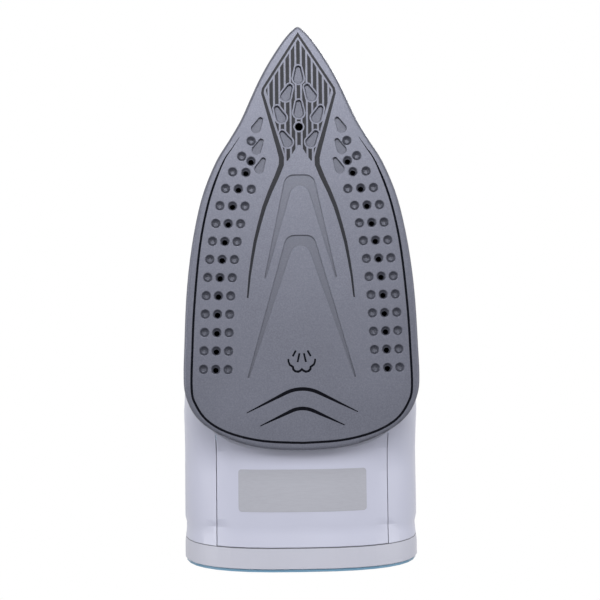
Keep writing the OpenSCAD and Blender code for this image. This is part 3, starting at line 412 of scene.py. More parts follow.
def worked_metal(name, colour, roughness, line_mm, stretch):
    """Metal with the fine lines that rolling or drawing leaves; it mirrors the light along them."""
    made, tree, output, place = new_finish(name)
    lines = noise(tree, stretched(tree, place, stretch), line_mm, detail=4.0)
    close_finish(tree, output, {
        "Base Color": shaded(tree, linear(colour)[:3], spread(tree, lines, 0.88, 1.08)),
        "Roughness": spread(tree, lines, roughness - 0.06, roughness + 0.08),
        "Metallic": 1.0,
        "Normal": bumps(tree, lines, 0.1, 0.04),
    })
    return made


def pressed_ceramic(name, colour):
    """Pressed steatite: matt and slightly mottled, with a dusty grain."""
    made, tree, output, place = new_finish(name)
    mottle = noise(tree, place, 2.5, detail=5.0)
    close_finish(tree, output, {
        "Base Color": shaded(tree, linear(colour)[:3], spread(tree, mottle, 0.9, 1.06)),
        "Roughness": 0.6,
        "IOR": 1.6,
        "Normal": bumps(tree, mottle, 0.2, 0.1),
    })
    return made


def thin_film(name, colour, sheen):
    """Printed ink, or the near-black painted shade in the vents' bores: thin and uneven; sheen sets how
    much light it mirrors.
    """
    made, tree, output, place = new_finish(name)
    cover = noise(tree, place, 0.8, detail=3.0)
    close_finish(tree, output, {
        "Base Color": shaded(tree, linear(colour)[:3], spread(tree, cover, 0.85, 1.6, end=0.75)),
        "Roughness": 0.42,
        "IOR": 1.5,
        "Specular IOR Level": sheen,
    })
    return made


def foil_plate(name, colour):
    """Silvered polyester film: a soft metallic sheet with faint brushing along its length."""
    made, tree, output, place = new_finish(name)
    brushed = noise(tree, stretched(tree, place, (0.06, 1.0, 1.0)), 0.5, detail=3.0)
    close_finish(tree, output, {
        "Base Color": shaded(tree, linear(colour)[:3], spread(tree, brushed, 0.97, 1.03)),
        "Roughness": 0.38,
        "Metallic": 0.35,
        "Coat Weight": 0.4,
        "Coat Roughness": 0.12,
    })
    return made


# -------------------- modelling helpers


def start_clean():
    """Leaves nothing selected, in object mode."""
    if bpy.context.object and bpy.context.object.mode != "OBJECT":
        bpy.ops.object.mode_set(mode="OBJECT")
    bpy.ops.object.select_all(action="DESELECT")


def select_only(piece):
    """Makes the piece the only selected and the active one."""
    start_clean()
    piece.select_set(True)
    bpy.context.view_layer.objects.active = piece


def apply_place(piece):
    """Puts the object's place into its mesh."""
    select_only(piece)
    bpy.ops.object.transform_apply(location=True, rotation=True, scale=True)


def set_finish(piece, material):
    """Gives the piece this material alone."""
    piece.data.materials.clear()
    piece.data.materials.append(material)


def flat_shape(name, outlines, thickness, matrix):
    """A thin flat piece filled between closed outlines that are given in millimetres."""
    start_clean()
    bpy.ops.curve.primitive_bezier_circle_add()
    piece = bpy.context.object
    piece.name = name
    drawing = piece.data
    drawing.splines.clear()
    drawing.dimensions = "2D"
    drawing.fill_mode = "BOTH"
    drawing.extrude = thickness / 2
    for outline in outlines:
        spline = drawing.splines.new("POLY")
        spline.points.add(len(outline) - 1)
        spline.use_cyclic_u = True
        for point, (x, y) in zip(spline.points, outline):
            point.co = (x, y, 0, 1)
    select_only(piece)
    bpy.ops.object.convert(target="MESH")
    piece = bpy.context.object
    piece.matrix_world = matrix
    apply_place(piece)
    return piece


def lettering(name, text, height):
    """Plain capitals as a flat mesh in metres, centred over the origin."""
    start_clean()
    bpy.ops.object.text_add()
    piece = bpy.context.object
    piece.name = name
    piece.data.body = text
    piece.data.align_x = "CENTER"
    piece.data.size = height * MM
    bpy.ops.object.convert(target="MESH")
    return bpy.context.object


def round_tool(x, y, bottom, top, low_radius, high_radius):
    """A round solid that stands on the sole's face between two heights in millimetres."""
    start_clean()
    bpy.ops.mesh.primitive_cone_add(
        vertices=24, radius1=low_radius, radius2=high_radius, depth=top - bottom)
    tool = bpy.context.object
    tool.matrix_world = sole_matrix(x, y, (bottom + top) / 2)
    apply_place(tool)
    return tool


def combine(piece, tool, operation):
    """Joins the tool's volume to the piece or takes it off, and clears the tool away."""
    select_only(piece)
    bpy.ops.object.modifier_add(type="BOOLEAN")
    step = piece.modifiers[-1]
    step.operation = operation
    step.solver = "EXACT"
    step.object = tool
    bpy.ops.object.modifier_apply(modifier=step.name)
    select_only(tool)
    bpy.ops.object.delete()


def smooth_copy(node, material, angle=32, plugs=(), cutters=()):
    """A smoothly shaded copy that stands for a CAD node, with plugs put in and cutters taken off."""
    source = NODES[node]
    select_only(source)
    bpy.ops.object.duplicate()
    copy = bpy.context.object
    for key in [key for key in copy.keys() if key.startswith("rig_")]:
        del copy[key]
    copy.name = node + "_skin"
    select_only(copy)
    bpy.ops.object.mode_set(mode="EDIT")
    bpy.ops.mesh.select_all(action="SELECT")
    bpy.ops.mesh.remove_doubles(threshold=0.01 * MM)
    bpy.ops.mesh.customdata_custom_splitnormals_clear()
    bpy.ops.object.mode_set(mode="OBJECT")
    for plug in plugs:
        combine(copy, plug, "UNION")
    for cutter in cutters:
        combine(copy, cutter, "DIFFERENCE")
    select_only(copy)
    bpy.ops.object.shade_smooth_by_angle(angle=math.radians(angle))
    bpy.ops.object.modifier_add(type="WEIGHTED_NORMAL")
    copy.modifiers[-1].keep_sharp = True
    bpy.ops.object.modifier_apply(modifier=copy.modifiers[-1].name)
    set_finish(copy, material)
    body = source["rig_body"]
    copy.parent = None
    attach(copy, body)
    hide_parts(node)
    return copy


def print_on(piece, node, matrix, ink):
    """Presses a flat drawing onto a node's skin along the drawing's own Z, and lets it ride along."""
    piece.matrix_world = matrix
    select_only(piece)
    bpy.ops.object.modifier_add(type="SHRINKWRAP")
    wrap = piece.modifiers[-1]
    wrap.target = bpy.data.objects[node + "_skin"]
    wrap.wrap_method = "PROJECT"
    wrap.wrap_mode = "ABOVE_SURFACE"
    wrap.use_project_z = True
    wrap.use_negative_direction = True
    wrap.use_positive_direction = False
    wrap.offset = MARK_LIFT * MM
    bpy.ops.object.modifier_apply(modifier=wrap.name)
    apply_place(piece)
    set_finish(piece, ink)
    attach(piece, NODES[node]["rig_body"])


def press_with(spring):
    """Gives a spring a mesh of its own."""
    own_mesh(spring)


# -------------------- drawing lines


def across(half):
    """A symmetric line: the half from right to the middle, and its mirror image."""
    return list(half) + [(-x, y) for x, y in reversed(half[:-1])]


def line_y(a, b, x):
    """Where the straight line from a to b is at x."""
    return a[1] + (b[1] - a[1]) * (x - a[0]) / (b[0] - a[0])


def on_circle(radius, degrees):
    """The point of a circle round the origin at an angle."""
    return (radius * math.cos(math.radians(degrees)), radius * math.sin(math.radians(degrees)))


def ring(x, y, radius, steps=24):
    """A closed circle."""
    return [(x + radius * math.cos(math.tau * k / steps), y + radius * math.sin(math.tau * k / steps))
            for k in range(steps)]


def distances(points):
    """How far along its line each point lies."""
    runs = [0.0]
    for a, b in zip(points, points[1:]):
        runs.append(runs[-1] + math.dist(a, b))
    return runs


def smooth_line(points, steps=6):
    """A smooth line through the points."""
    ends = [points[0]] + list(points) + [points[-1]]
    line = []
    for a, b, c, d in zip(ends, ends[1:], ends[2:], ends[3:]):
        for k in range(steps):
            t = k / steps
            line.append(tuple(
                0.5 * (2 * b[i] + (c[i] - a[i]) * t + (2 * a[i] - 5 * b[i] + 4 * c[i] - d[i]) * t * t
                       + (3 * b[i] - a[i] - 3 * c[i] + d[i]) * t ** 3) for i in (0, 1)))
    return line + [tuple(points[-1])]


def ribbon(line, widths):
    """The closed outline of a stroke along line; its widths are spread evenly over its length."""
    points = [Vector(p) for p in line]
    runs = distances(points)
    left, right = [], []
    for i, here in enumerate(points):
        into = (here - points[i - 1]).normalized() if i > 0 else (points[1] - here).normalized()
        out_of = (points[i + 1] - here).normalized() if i < len(points) - 1 else into
        middle = (into + out_of).normalized()
        place = runs[i] / runs[-1] * (len(widths) - 1)
        k = min(int(place), len(widths) - 2)
        width = widths[k] + (widths[k + 1] - widths[k]) * (place - k)
        half = width / 2 / max(middle.dot(into), 0.5)
        left.append((here.x - middle.y * half, here.y + middle.x * half))
        right.append((here.x + middle.y * half, here.y - middle.x * half))
    return left + right[::-1]


def tapered(line, steps=60):
    """The outline of a stroke along a symmetric line whose points each carry their own width."""
    points = [(x, y) for x, y, width in line]
    runs = distances(points)
    widths = []
    for k in range(steps + 1):
        run = runs[-1] * k / steps
        i = max(j for j in range(len(runs) - 1) if runs[j] <= run)
        share = (run - runs[i]) / (runs[i + 1] - runs[i])
        widths.append(line[i][2] + (line[i + 1][2] - line[i][2]) * share)
    return ribbon(across(points[::-1]), widths[::-1] + widths[1:])


def bend(foot, peak, radius, steps=8):
    """Half of a line from its right foot up to the middle, where an arc rounds its peak."""
    slope = math.atan2(peak - foot[1], foot[0])
    hub = peak - radius / math.cos(slope)
    arc = [(radius * math.sin(slope * k / steps), hub + radius * math.cos(slope * k / steps))
           for k in range(steps, -1, -1)]
    return [foot] + arc


# -------------------- drawing the sole


def halo(x, y, turn, margin, steps=12):
    """The outline of a drop, set outwards by margin."""
    reach = (DROP_LENGTH - DROP_BIG - DROP_SMALL) / 2
    ends = [(DROP_BIG + margin, -reach, 180, 360), (DROP_SMALL + margin, reach, 0, 180)]
    upright = []
    for radius, hub, first, last in ends:
        for k in range(steps + 1):
            u, v = on_circle(radius, first + (last - first) * k / steps)
            upright.append((u, hub + v))
    c, s = on_circle(1, turn)
    return [(x + u * c - v * s, y + u * s + v * c) for u, v in upright]


def drop_rings(drops, margin):
    """The outlines of the drops on both sides, set outwards by margin."""
    rings = []
    for x, y, turn in drops:
        rings.append(halo(x, y, turn, margin))
        if x:
            rings.append(halo(-x, y, -turn, margin))
    return rings


def drop_cutter(drops, lip):
    """A solid that cuts the drops to one depth with sloping walls; lip is the width of the slope."""
    cutter = flat_shape("drop_cutter", drop_rings(drops, lip), thickness=0.4, matrix=sole_matrix())
    select_only(cutter)
    # The faces that look into the sole are pressed in, which makes the floor and the slope round it
    for face in cutter.data.polygons:
        face.select = face.normal.dot(OUT) < -0.9
    bpy.ops.object.mode_set(mode="EDIT")
    bpy.ops.mesh.select_mode(type="FACE")
    bpy.ops.mesh.inset(thickness=lip * MM, depth=DROP_FLOOR * MM, use_boundary=True)
    bpy.ops.object.mode_set(mode="OBJECT")
    return cutter


def crowded_pits():
    """Plugs for the pits that run into the drops beside the diamond, on both sides."""
    return [round_tool(side * x, y, -PLUG_DEPTH, 0, PLUG_RADIUS, PLUG_RADIUS)
            for x, y in CROWDED for side in (1, -1)]


def moved_vents():
    """The tools that sink a vent and its dimple clear of the drops, on both sides."""
    tools = []
    for side in (1, -1):
        x, y = side * VENT_PLACE[0], VENT_PLACE[1]
        tools.append(round_tool(x, y, -DIMPLE_DEPTH, OVER_FACE, DIMPLE_FLOOR, DIMPLE_MOUTH))
        tools.append(round_tool(x, y - VENT_DROP, -VENT_DEPTH, OVER_FACE, VENT_RADIUS, VENT_RADIUS))
    return tools


def recess_faces(skin):
    """The faces below the sole's ironing face, each with its material slot; the rim isn't among them."""
    def sole_place(point):
        away = (point - REAR_EDGE) / MM
        return away.dot(ACROSS), away.dot(ALONG), away.dot(OUT)

    half_widths = {}
    for vertex in skin.data.vertices:
        x, y, _ = sole_place(vertex.co)
        band = round(y / RIM_BAND)
        half_widths[band] = max(half_widths.get(band, 0), abs(x))
    found = []
    for face in skin.data.polygons:
        x, y, lift = sole_place(face.center)
        tilt = face.normal.dot(OUT)
        flat = tilt > 0.95
        if y <= RIM_WIDTH or abs(x) >= half_widths.get(round(y / RIM_BAND), 0) - RIM_WIDTH:
            continue
        if lift < -BORE_DEPTH:
            found.append((face, IN_BORE))
        elif (flat and lift < -FLOOR_DEPTH) or (0.2 < tilt and not flat and lift < -SLOPE_DEPTH):
            found.append((face, IN_RECESS))
        elif flat and lift < -ARCH_DEPTH:
            found.append((face, IN_ARCH))
    return found


def stripe_outlines(pitch, width, margin):
    """The upright stripes inside the diamond, cut along its sides and along a notch at its foot."""
    def top(x):
        return line_y(DIAMOND_APEX, DIAMOND_CORNER, abs(x)) - TOP_STOP * margin

    def foot(x):
        side = line_y(DIAMOND_NECK, DIAMOND_CORNER, abs(x)) + FOOT_STOP * margin
        return max(side, NOTCH_TOP - NOTCH_SLOPE * abs(x), STRIPES_END)

    # The stripes reach as far as their tops stay above their feet, searched in tenths of a millimetre
    reach = next(k / 10 for k in range(300) if top(k / 10) < foot(k / 10)) - 0.1
    outlines = []
    for k in range(-STRIPES_EACH_SIDE, STRIPES_EACH_SIDE + 1):
        first = max(k * pitch - width / 2, -reach)
        last = min(k * pitch + width / 2, reach)
        steps = [first + (last - first) * i / 6 for i in range(7)]
        outlines.append([(x, foot(x)) for x in steps] + [(x, top(x)) for x in reversed(steps)])
    return outlines


def steam_mark():
    """A plain sign for steam: four jets over the round underside of a cloud."""
    strokes = [ribbon(across(CLOUD_HALF), CLOUD_WIDTHS)]
    for top, foot in JETS:
        for side in (1, -1):
            jet = [(top[0] * side, top[1]), (foot[0] * side, foot[1])]
            strokes.append(ribbon(jet, [JET_WIDTH, JET_WIDTH]))
    return strokes


# -------------------- drawing the marks on the controls


def dial_marks():
    """One, two and three dots for rising heat a quarter turn apart, and a wedge that widens with it."""
    outlines = []
    for count in (1, 2, 3):
        for k in range(count):
            swing = (k - (count - 1) / 2) * DOT_SWING
            outlines.append(ring(*on_circle(DOTS_RADIUS, 90 - 90 * count + swing), DOT_RADIUS, steps=12))
    sweep = [on_circle(WEDGE_RADIUS, WEDGE_FROM - WEDGE_SWEEP * k / 40) for k in range(41)]
    return outlines + [ribbon(sweep, WEDGE_WIDTHS)]


def small_steam_mark():
    """The steam sign, centred and small enough for a button."""
    return [[(x * SMALL_STEAM, (y - STEAM_MIDDLE) * SMALL_STEAM) for x, y in outline]
            for outline in steam_mark()]


def spray_mark():
    """A fan of spray over a round nozzle."""
    return [ribbon(stroke, [MARK_STROKE, MARK_STROKE]) for stroke in FAN] + [ring(*FAN_NOZZLE, steps=12)]


def level_mark():
    """A short level line, in steps of a millimetre so that it follows a curved wall."""
    return [ribbon([(x, 0) for x in range(-LEVEL_HALF, LEVEL_HALF + 1)], [MARK_STROKE, MARK_STROKE])]


# -------------------- settings


class IronColours(bpy.types.PropertyGroup):
    """Colours of the pieces that show."""
    sole: bpy.props.StringProperty(
        name="Sole", description="Colour of the sole's coat", default="#585a66")
    sole_grit: bpy.props.StringProperty(
        name="Sole grit", description="Colour of the coat's grit", default="#777985")
    # Painted shade: the coat in the arches is painted darker than the sole's.
    arch_shade: bpy.props.StringProperty(
        name="Arch", description="Colour of the coat in the arches", default="#52545f")
    # Painted shade: the coat in the dimples and drops is painted darker than the sole's.
    recess_shade: bpy.props.StringProperty(
        name="Recess", description="Colour of the coat in dimples and drops", default="#4b4d58")
    # Painted shade: the grit in the recesses and arches is painted darker too.
    recess_shade_grit: bpy.props.StringProperty(
        name="Recess grit", description="Colour of the grit in all recesses", default="#656772")
    ink: bpy.props.StringProperty(
        name="Ink", description="Colour of the print in and round the diamond", default="#101119")
    # Its near black is also painted on the vents' bores as painted shade.
    matt_ink: bpy.props.StringProperty(
        name="Matt ink", description="Colour of the sole's other print and bores", default="#0b0c12")
    shell: bpy.props.StringProperty(
        name="Shell", description="Colour of the main mouldings", default="#bec0d1")
    heel: bpy.props.StringProperty(
        name="Heel", description="Colour of the heel cap", default="#bdbeca")
    accent: bpy.props.StringProperty(
        name="Accent", description="Colour of the controls and foot", default="#6d98b4")
    tank: bpy.props.StringProperty(
        name="Tank", description="Tint of the water tank", default="#c3e1ef")
    mark: bpy.props.StringProperty(
        name="Marks", description="Colour of the controls' print", default="#e6e8ee")
    pad: bpy.props.StringProperty(
        name="Pad", description="Colour of the grip pad", default="#4a5360")
    plate: bpy.props.StringProperty(
        name="Plate", description="Colour of the rating plate", default="#a3a4ad")


class IronSizes(bpy.types.PropertyGroup):
    """Sizes of the print and the plate."""
    border_width: bpy.props.FloatProperty(
        name="Border width", description="Width of the print's border line, in mm",
        default=1.15, min=0.3, max=2)
    stripe_pitch: bpy.props.FloatProperty(
        name="Stripe pitch", description="Distance between two stripes, in mm",
        default=2.77, min=2, max=4)
    stripe_width: bpy.props.FloatProperty(
        name="Stripe width", description="Width of a stripe, in mm",
        default=1.8, min=0.8, max=2.4)
    bare_margin: bpy.props.FloatProperty(
        name="Bare margin", description="Bare ring round each drop, in mm",
        default=0.85, min=0.3, max=1.5)
    ink_thickness: bpy.props.FloatProperty(
        name="Ink thickness", description="Thickness of the print, in mm",
        default=0.03, min=0.01, max=0.1)
    plate_width: bpy.props.FloatProperty(
        name="Plate width", description="Width of the rating plate, in mm",
        default=64.6, min=40, max=80)
    plate_height: bpy.props.FloatProperty(
        name="Plate height", description="Height of the rating plate, in mm",
        default=21.2, min=15, max=30)


def colours():
    """The colours set in the panel's scene."""
    return bpy.context.scene.iron_colours


def sizes():
    """The sizes set in the panel's scene."""
    return bpy.context.scene.iron_sizes


# -------------------- operators


class IRON_OT_sole_coat(bpy.types.Operator):
    """Gives the soleplate its coat with painted shade in its recesses, arches and bores, evens its drops
    and clears the vents beside them.
    """
    bl_idname = "iron.sole_coat"
    bl_label = "Sole Coat"

    def execute(self, context):
        shade = colours()
        cutters = [drop_cutter(DROPS, DROP_LIP), drop_cutter(OUTER_DROPS, OUTER_DROP_LIP)]
        cutters += moved_vents()
        coat = ceramic_coat("ceramic_coat_on_aluminium", shade.sole, shade.sole_grit)
        skin = smooth_copy("soleplate", coat, angle=28, plugs=crowded_pits(), cutters=cutters)
        # The coat is painted darker in the recesses and arches, and the bores near black: painted shade.
        # The order is that of the slots IN_RECESS, IN_BORE and IN_ARCH.
        for finish in (
            ceramic_coat("ceramic_coat_painted_shade_in_recesses", shade.recess_shade, shade.recess_shade_grit),
            thin_film("painted_shade_in_vents", shade.matt_ink, sheen=0.03),
            ceramic_coat("ceramic_coat_painted_shade_in_arches", shade.arch_shade, shade.recess_shade_grit),
        ):
            skin.data.materials.append(finish)
        for face, slot in recess_faces(skin):
            face.material_index = slot
        return {"FINISHED"}


class IRON_OT_sole_print(bpy.types.Operator):
    """Prints the border, the striped diamond, the chevrons and the steam sign on the sole."""
    bl_idname = "iron.sole_print"
    bl_label = "Sole Print"

    def execute(self, context):
        size = sizes()
        satin_ink = thin_film("satin_black_pad_print", colours().ink, sheen=0.2)
        matt_ink = thin_film("matt_black_pad_print", colours().matt_ink, sheen=0.03)
        full_widths = [size.border_width] * BORDER_FULL_STEPS
        border_widths = [BORDER_END_WIDTH] + full_widths + [BORDER_END_WIDTH]
        border = ribbon(across(smooth_line(BORDER_HALF)), border_widths)
        stripes = stripe_outlines(size.stripe_pitch, size.stripe_width, size.bare_margin)
        chevrons = [ribbon(across(bend(*chevron)), CHEVRON_WIDTHS) for chevron in CHEVRONS]
        # Each print: name, outlines and ink
        prints = [
            ("sole_border_print", [border], matt_ink),
            ("sole_diamond_print", [tapered(DIAMOND_LINE)], satin_ink),
            ("sole_stripes_print", stripes, satin_ink),
            ("sole_chevron_print", chevrons, matt_ink),
            ("sole_steam_print", steam_mark(), matt_ink),
        ]
        lift = size.ink_thickness / 2 + INK_GAP
        for name, outlines, ink in prints:
            piece = flat_shape(name, outlines, size.ink_thickness, sole_matrix(lift=lift))
            set_finish(piece, ink)
            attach(piece, ROOT)
        bare = drop_rings(DROPS, DROP_LIP + size.bare_margin)
        bare.append(ring(*TIP_VENT[:2], TIP_VENT[2] + size.bare_margin))
        rings = flat_shape("bare_rings", bare, thickness=1, matrix=sole_matrix(lift=lift))
        combine(bpy.data.objects["sole_stripes_print"], rings, "DIFFERENCE")
        return {"FINISHED"}


class IRON_OT_shells(bpy.types.Operator):
    """Gives the white mouldings, the pump bodies and the heel cap their finish."""
    bl_idname = "iron.shells"
    bl_label = "Shells"

    def execute(self, context):
        shell = moulded_abs("white_moulded_abs", colours().shell, roughness=0.36)
        cap = moulded_abs("pale_moulded_abs", colours().heel, roughness=0.4)
        # The heel cap's finish carries the painted shadow line of its joint.
        heel = moulded_abs(
            "pale_moulded_abs_heel_painted_gap_shadow", colours().heel, roughness=0.4, seam_mm=SEAM_HEIGHT)
        for node in ("lower_housing", "rear_panel", "handle_base", "handle_cover"):
            smooth_copy(node, shell)
        for node in ("dial_collar", "spray_pump", "steam_pump"):
            smooth_copy(node, cap)
        smooth_copy("heel_cap", heel)
        return {"FINISHED"}


class IRON_OT_rating_plate(bpy.types.Operator):
    """Sticks a bare silvered plate on the rear panel."""
    bl_idname = "iron.rating_plate"
    bl_label = "Rating Plate"

    def execute(self, context):
        width, height = sizes().plate_width, sizes().plate_height
        start_clean()
        bpy.ops.mesh.primitive_plane_add(size=1)
        piece = context.object
        piece.name = "rating_plate"
        bpy.ops.object.mode_set(mode="EDIT")
        bpy.ops.transform.resize(value=(width, height, 1))
        bpy.ops.mesh.bevel(offset=PLATE_CORNER, segments=5, affect="VERTICES")
        bpy.ops.object.mode_set(mode="OBJECT")
        piece.matrix_world = sole_matrix(0, PLATE_Y, PLATE_START)
        apply_place(piece)
        self.cut_grid(width, height)
        bpy.ops.object.modifier_add(type="SHRINKWRAP")
        wrap = piece.modifiers[-1]
        wrap.target = bpy.data.objects["rear_panel_skin"]
        wrap.wrap_method = "PROJECT"
        wrap.project_limit = PLATE_REACH * MM
        wrap.use_project_y = True
        wrap.use_positive_direction = True
        wrap.use_negative_direction = True
        wrap.offset = PLATE_LIFT * MM
        bpy.ops.object.modifier_apply(modifier=wrap.name)
        bpy.ops.object.shade_smooth()
        set_finish(piece, foil_plate("silvered_film", colours().plate))
        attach(piece, ROOT)
        return {"FINISHED"}

    def cut_grid(self, width, height):
        """Divides the plate so that it can follow the panel's curve."""
        columns = [(on_sole(width * (k / PLATE_COLUMNS - 0.5), PLATE_Y), ACROSS)
                   for k in range(1, PLATE_COLUMNS)]
        rows = [(on_sole(0, PLATE_Y + height * (k / PLATE_ROWS - 0.5)), ALONG)
                for k in range(1, PLATE_ROWS)]
        bpy.ops.object.mode_set(mode="EDIT")
        for place, normal in columns + rows:
            bpy.ops.mesh.select_all(action="SELECT")
            bpy.ops.mesh.bisect(plane_co=place, plane_no=normal)
        bpy.ops.object.mode_set(mode="OBJECT")


class IRON_OT_controls(bpy.types.Operator):
    """Gives the coloured controls, door, nozzle and foot their finish."""
    bl_idname = "iron.controls"
    bl_label = "Controls"

    def execute(self, context):
        accent = moulded_abs("blue_moulded_abs", colours().accent, roughness=0.3, grain_mm=0.4)
        for node in (
            "temperature_dial", "steam_knob", "spray_button", "steam_button", "spray_nozzle",
            "filler_door", "heel_foot",
        ):
            smooth_copy(node, accent)
        return {"FINISHED"}


class IRON_OT_tank(bpy.types.Operator):
    """Makes the water tank clear and tinted."""
    bl_idname = "iron.tank"
    bl_label = "Water Tank"

    def execute(self, context):
        smooth_copy("water_tank", clear_san("tinted_clear_san", colours().tank))
        return {"FINISHED"}


class IRON_OT_control_marks(bpy.types.Operator):
    """Prints the dial's dots, the buttons' signs and the tank's level lines."""
    bl_idname = "iron.control_marks"
    bl_label = "Control Marks"

    def execute(self, context):
        white = thin_film("white_pad_print", colours().mark, sheen=0.5)
        in_metres = Matrix.Scale(MM, 4)
        signs = {
            "temperature_dial": dial_marks(),
            "steam_button": small_steam_mark(),
            "spray_button": spray_mark(),
        }
        for node, outlines in signs.items():
            mark = flat_shape(node + "_mark", outlines, thickness=0, matrix=in_metres)
            print_on(mark, node, over_face(node, -OUT, ALONG), white)
        for side in (1, -1):
            x, y, z = LEVEL_PLACE
            place = facing(Vector((x * side, y, z)) * MM, Vector((side, LEVEL_LEAN, 0)).normalized(), UP)
            level = flat_shape("level_line", level_mark(), thickness=0, matrix=in_metres)
            print_on(level, "water_tank", place, white)
            word = lettering("level_word", "MAX", WORD_HEIGHT)
            print_on(word, "water_tank", place @ Matrix.Translation((0, WORD_RISE * MM, 0)), white)
        return {"FINISHED"}


class IRON_OT_soft_parts(bpy.types.Operator):
    """Gives the grip pad, gland, hoses and seals their rubber finishes."""
    bl_idname = "iron.soft_parts"
    bl_label = "Soft Parts"

    def execute(self, context):
        # Each finish: name, colour, roughness, and the spacing and height of its grain in millimetres
        pad = soft_rubber("soft_touch_tpe", colours().pad, 0.62, 1.3, 0.12)
        gland = soft_rubber("black_pvc", "#26272a", 0.55, 0.6, 0.04)
        silicone = soft_rubber("red_silicone", "#a2533a", 0.5, 0.5, 0.03)
        hose = soft_rubber("translucent_silicone", "#d3d8dc", 0.4, 0.5, 0.02)
        smooth_copy("grip_pad", pad)
        smooth_copy("cord_gland", gland)
        for node in ("chamber_gasket", "valve_seat"):
            set_finish(NODES[node], silicone)
        for node in ("spray_hose", "steam_hose"):
            smooth_copy(node, hose)
        return {"FINISHED"}


class IRON_OT_inner_works(bpy.types.Operator):
    """Gives the metal, ceramic and plastic pieces inside their finishes, and gives each spring a mesh of
    its own.
    """
    bl_idname = "iron.inner_works"
    bl_label = "Inner Works"

    def execute(self, context):
        # Each metal: name, colour, roughness, spacing of its lines in millimetres, and how they stretch
        sheet = worked_metal("rolled_aluminium", "#b8babd", 0.34, 0.4, (0.05, 1, 1))
        dark_sheet = worked_metal("blackened_aluminium", "#1d1e20", 0.5, 0.4, (0.05, 1, 1))
        steel = worked_metal("zinc_plated_steel", "#bfc1c3", 0.3, 0.3, (1, 1, 0.2))
        brass = worked_metal("turned_brass", "#c2a052", 0.28, 0.3, (1, 1, 0.3))
        phenolic = moulded_abs("black_phenolic", "#2c2e32", roughness=0.5, grain_mm=0.3)
        ceramic = pressed_ceramic("pressed_steatite", "#dad5c6")
        nylon = moulded_abs("natural_nylon", "#e9e6dc", roughness=0.45)
        finishes = (
            (dark_sheet, ("chamber_cover",)),
            (sheet, ("heating_element",)),
            (steel, ("chamber_screws", "heel_screws", "thermostat_shaft", "valve_rod", "filler_pin")),
            (brass, ("terminal_screws",)),
            (phenolic, ("heat_shield", "gland_collar")),
            (ceramic, ("thermostat", "thermal_fuse")),
            (nylon, ("terminal_block",)),
        )
        for finish, nodes in finishes:
            for node in nodes:
                set_finish(NODES[node], finish)
        for node, joint in (("spray_spring", "spray_press"), ("steam_spring", "steam_press")):
            press_with(smooth_copy(node, steel))
        smooth_copy("indicator_lens", clear_san("amber_polycarbonate", "#e8962f"))
        smooth_copy("indicator_lamp", clear_san("lamp_glass", "#f4efe4"))
        return {"FINISHED"}


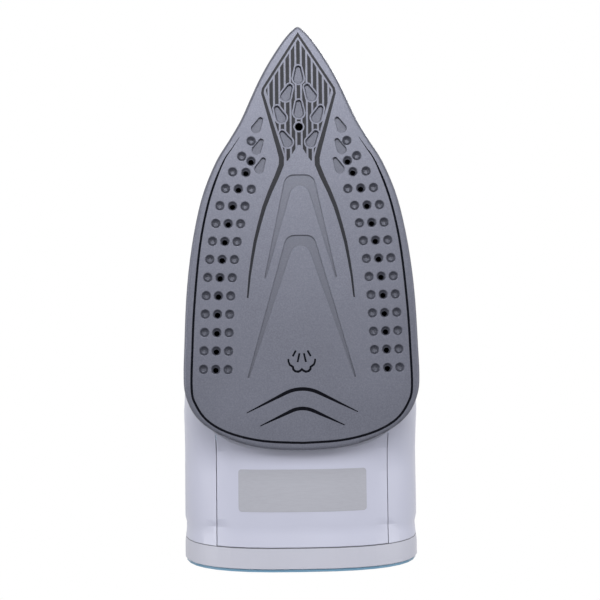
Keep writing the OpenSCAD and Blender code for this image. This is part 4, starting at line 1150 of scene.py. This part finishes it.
class IRON_OT_stage(bpy.types.Operator):
    """Sets the floor, the white surroundings, the lamps and the camera."""
    bl_idname = "iron.stage"
    bl_label = "Stage"

    def execute(self, context):
        self.lay_floor(context)
        self.surround(context.scene)
        for lamp in LAMPS:
            self.hang_lamp(context, *lamp)
        self.place_camera(context)
        context.scene.view_settings.view_transform = "Standard"
        return {"FINISHED"}

    def lay_floor(self, context):
        """A floor that throws light back like grey paper and is plain white to the eye."""
        start_clean()
        bpy.ops.mesh.primitive_plane_add(size=FLOOR_SIZE)
        floor = context.object
        floor.name = "floor"
        white, tree, output, place = new_finish("white_floor")
        paper = add(tree, "ShaderNodeBsdfDiffuse", {"Color": linear("#8c8c90")})
        glow = add(tree, "ShaderNodeEmission", {"Color": WHITE, "Strength": PLAIN_WHITE})
        mixed = add(tree, "ShaderNodeMixShader", {
            "Fac": background_seen(tree), 1: paper.outputs["BSDF"], 2: glow.outputs["Emission"],
        })
        tree.links.new(mixed.outputs["Shader"], output.inputs["Surface"])
        set_finish(floor, white)

    def surround(self, scene):
        """A soft light from all round that is plain white to the eye."""
        world = bpy.data.worlds.new("white_surroundings")
        scene.world = world
        world.use_nodes = True
        tree = world.node_tree
        tree.nodes.clear()
        soft = add(tree, "ShaderNodeBackground", {"Color": WHITE, "Strength": SOFT_LIGHT})
        plain = add(tree, "ShaderNodeBackground", {"Color": WHITE, "Strength": PLAIN_WHITE})
        choice = add(tree, "ShaderNodeMixShader", {
            "Fac": background_seen(tree), 1: soft.outputs["Background"], 2: plain.outputs["Background"],
        })
        end = add(tree, "ShaderNodeOutputWorld")
        tree.links.new(choice.outputs["Shader"], end.inputs["Surface"])

    def hang_lamp(self, context, name, spot, size, power):
        """A square lamp that shines at the middle of the iron."""
        start_clean()
        bpy.ops.object.light_add(type="AREA", location=spot)
        lamp = context.object
        lamp.name = name
        lamp.data.size = size
        lamp.data.energy = power
        lamp.rotation_euler = (LAMP_AIM - Vector(spot)).to_track_quat("-Z", "Y").to_euler()

    def place_camera(self, context):
        """A camera that looks at the sole from the front."""
        start_clean()
        bpy.ops.object.camera_add()
        camera = context.object
        camera.name = "camera"
        azimuth, height = math.radians(CAMERA_AZIMUTH), math.radians(CAMERA_HEIGHT)
        away = Vector((
            math.sin(azimuth) * math.cos(height), -math.cos(azimuth) * math.cos(height), math.sin(height),
        ))
        roll = Matrix.Rotation(math.radians(CAMERA_ROLL), 3, "Z")
        camera.location = on_sole(0, 0) + CAMERA_TARGET + away * CAMERA_DISTANCE
        camera.rotation_euler = ((-away).to_track_quat("-Z", "Y").to_matrix() @ roll).to_euler()
        camera.data.sensor_width = CAMERA_SENSOR
        camera.data.lens = CAMERA_LENS
        camera.data.shift_x = CAMERA_SHIFT_X
        camera.data.shift_y = CAMERA_SHIFT_Y
        camera.data.clip_start = 0.01
        context.scene.camera = camera


STEPS = (
    IRON_OT_sole_coat, IRON_OT_sole_print, IRON_OT_shells, IRON_OT_rating_plate, IRON_OT_controls,
    IRON_OT_tank, IRON_OT_control_marks, IRON_OT_soft_parts, IRON_OT_inner_works, IRON_OT_stage,
)


class IRON_PT_panel(bpy.types.Panel):
    """Lists the steps that dress the iron."""
    bl_idname = "IRON_PT_panel"
    bl_label = "Steam Iron"
    bl_space_type = "VIEW_3D"
    bl_region_type = "UI"
    bl_category = "Iron"

    def draw(self, context):
        for step in STEPS:
            self.layout.operator(step.bl_idname)


CLASSES = (IronColours, IronSizes) + STEPS + (IRON_PT_panel,)


def register():
    for item in CLASSES:
        bpy.utils.register_class(item)
    bpy.types.Scene.iron_colours = bpy.props.PointerProperty(type=IronColours)
    bpy.types.Scene.iron_sizes = bpy.props.PointerProperty(type=IronSizes)


def unregister():
    del bpy.types.Scene.iron_sizes
    del bpy.types.Scene.iron_colours
    for item in reversed(CLASSES):
        bpy.utils.unregister_class(item)


def main():
    register()
    for step in STEPS:
        group, action = step.bl_idname.split(".")
        getattr(getattr(bpy.ops, group), action)()


if __name__ == "__main__":
    main()
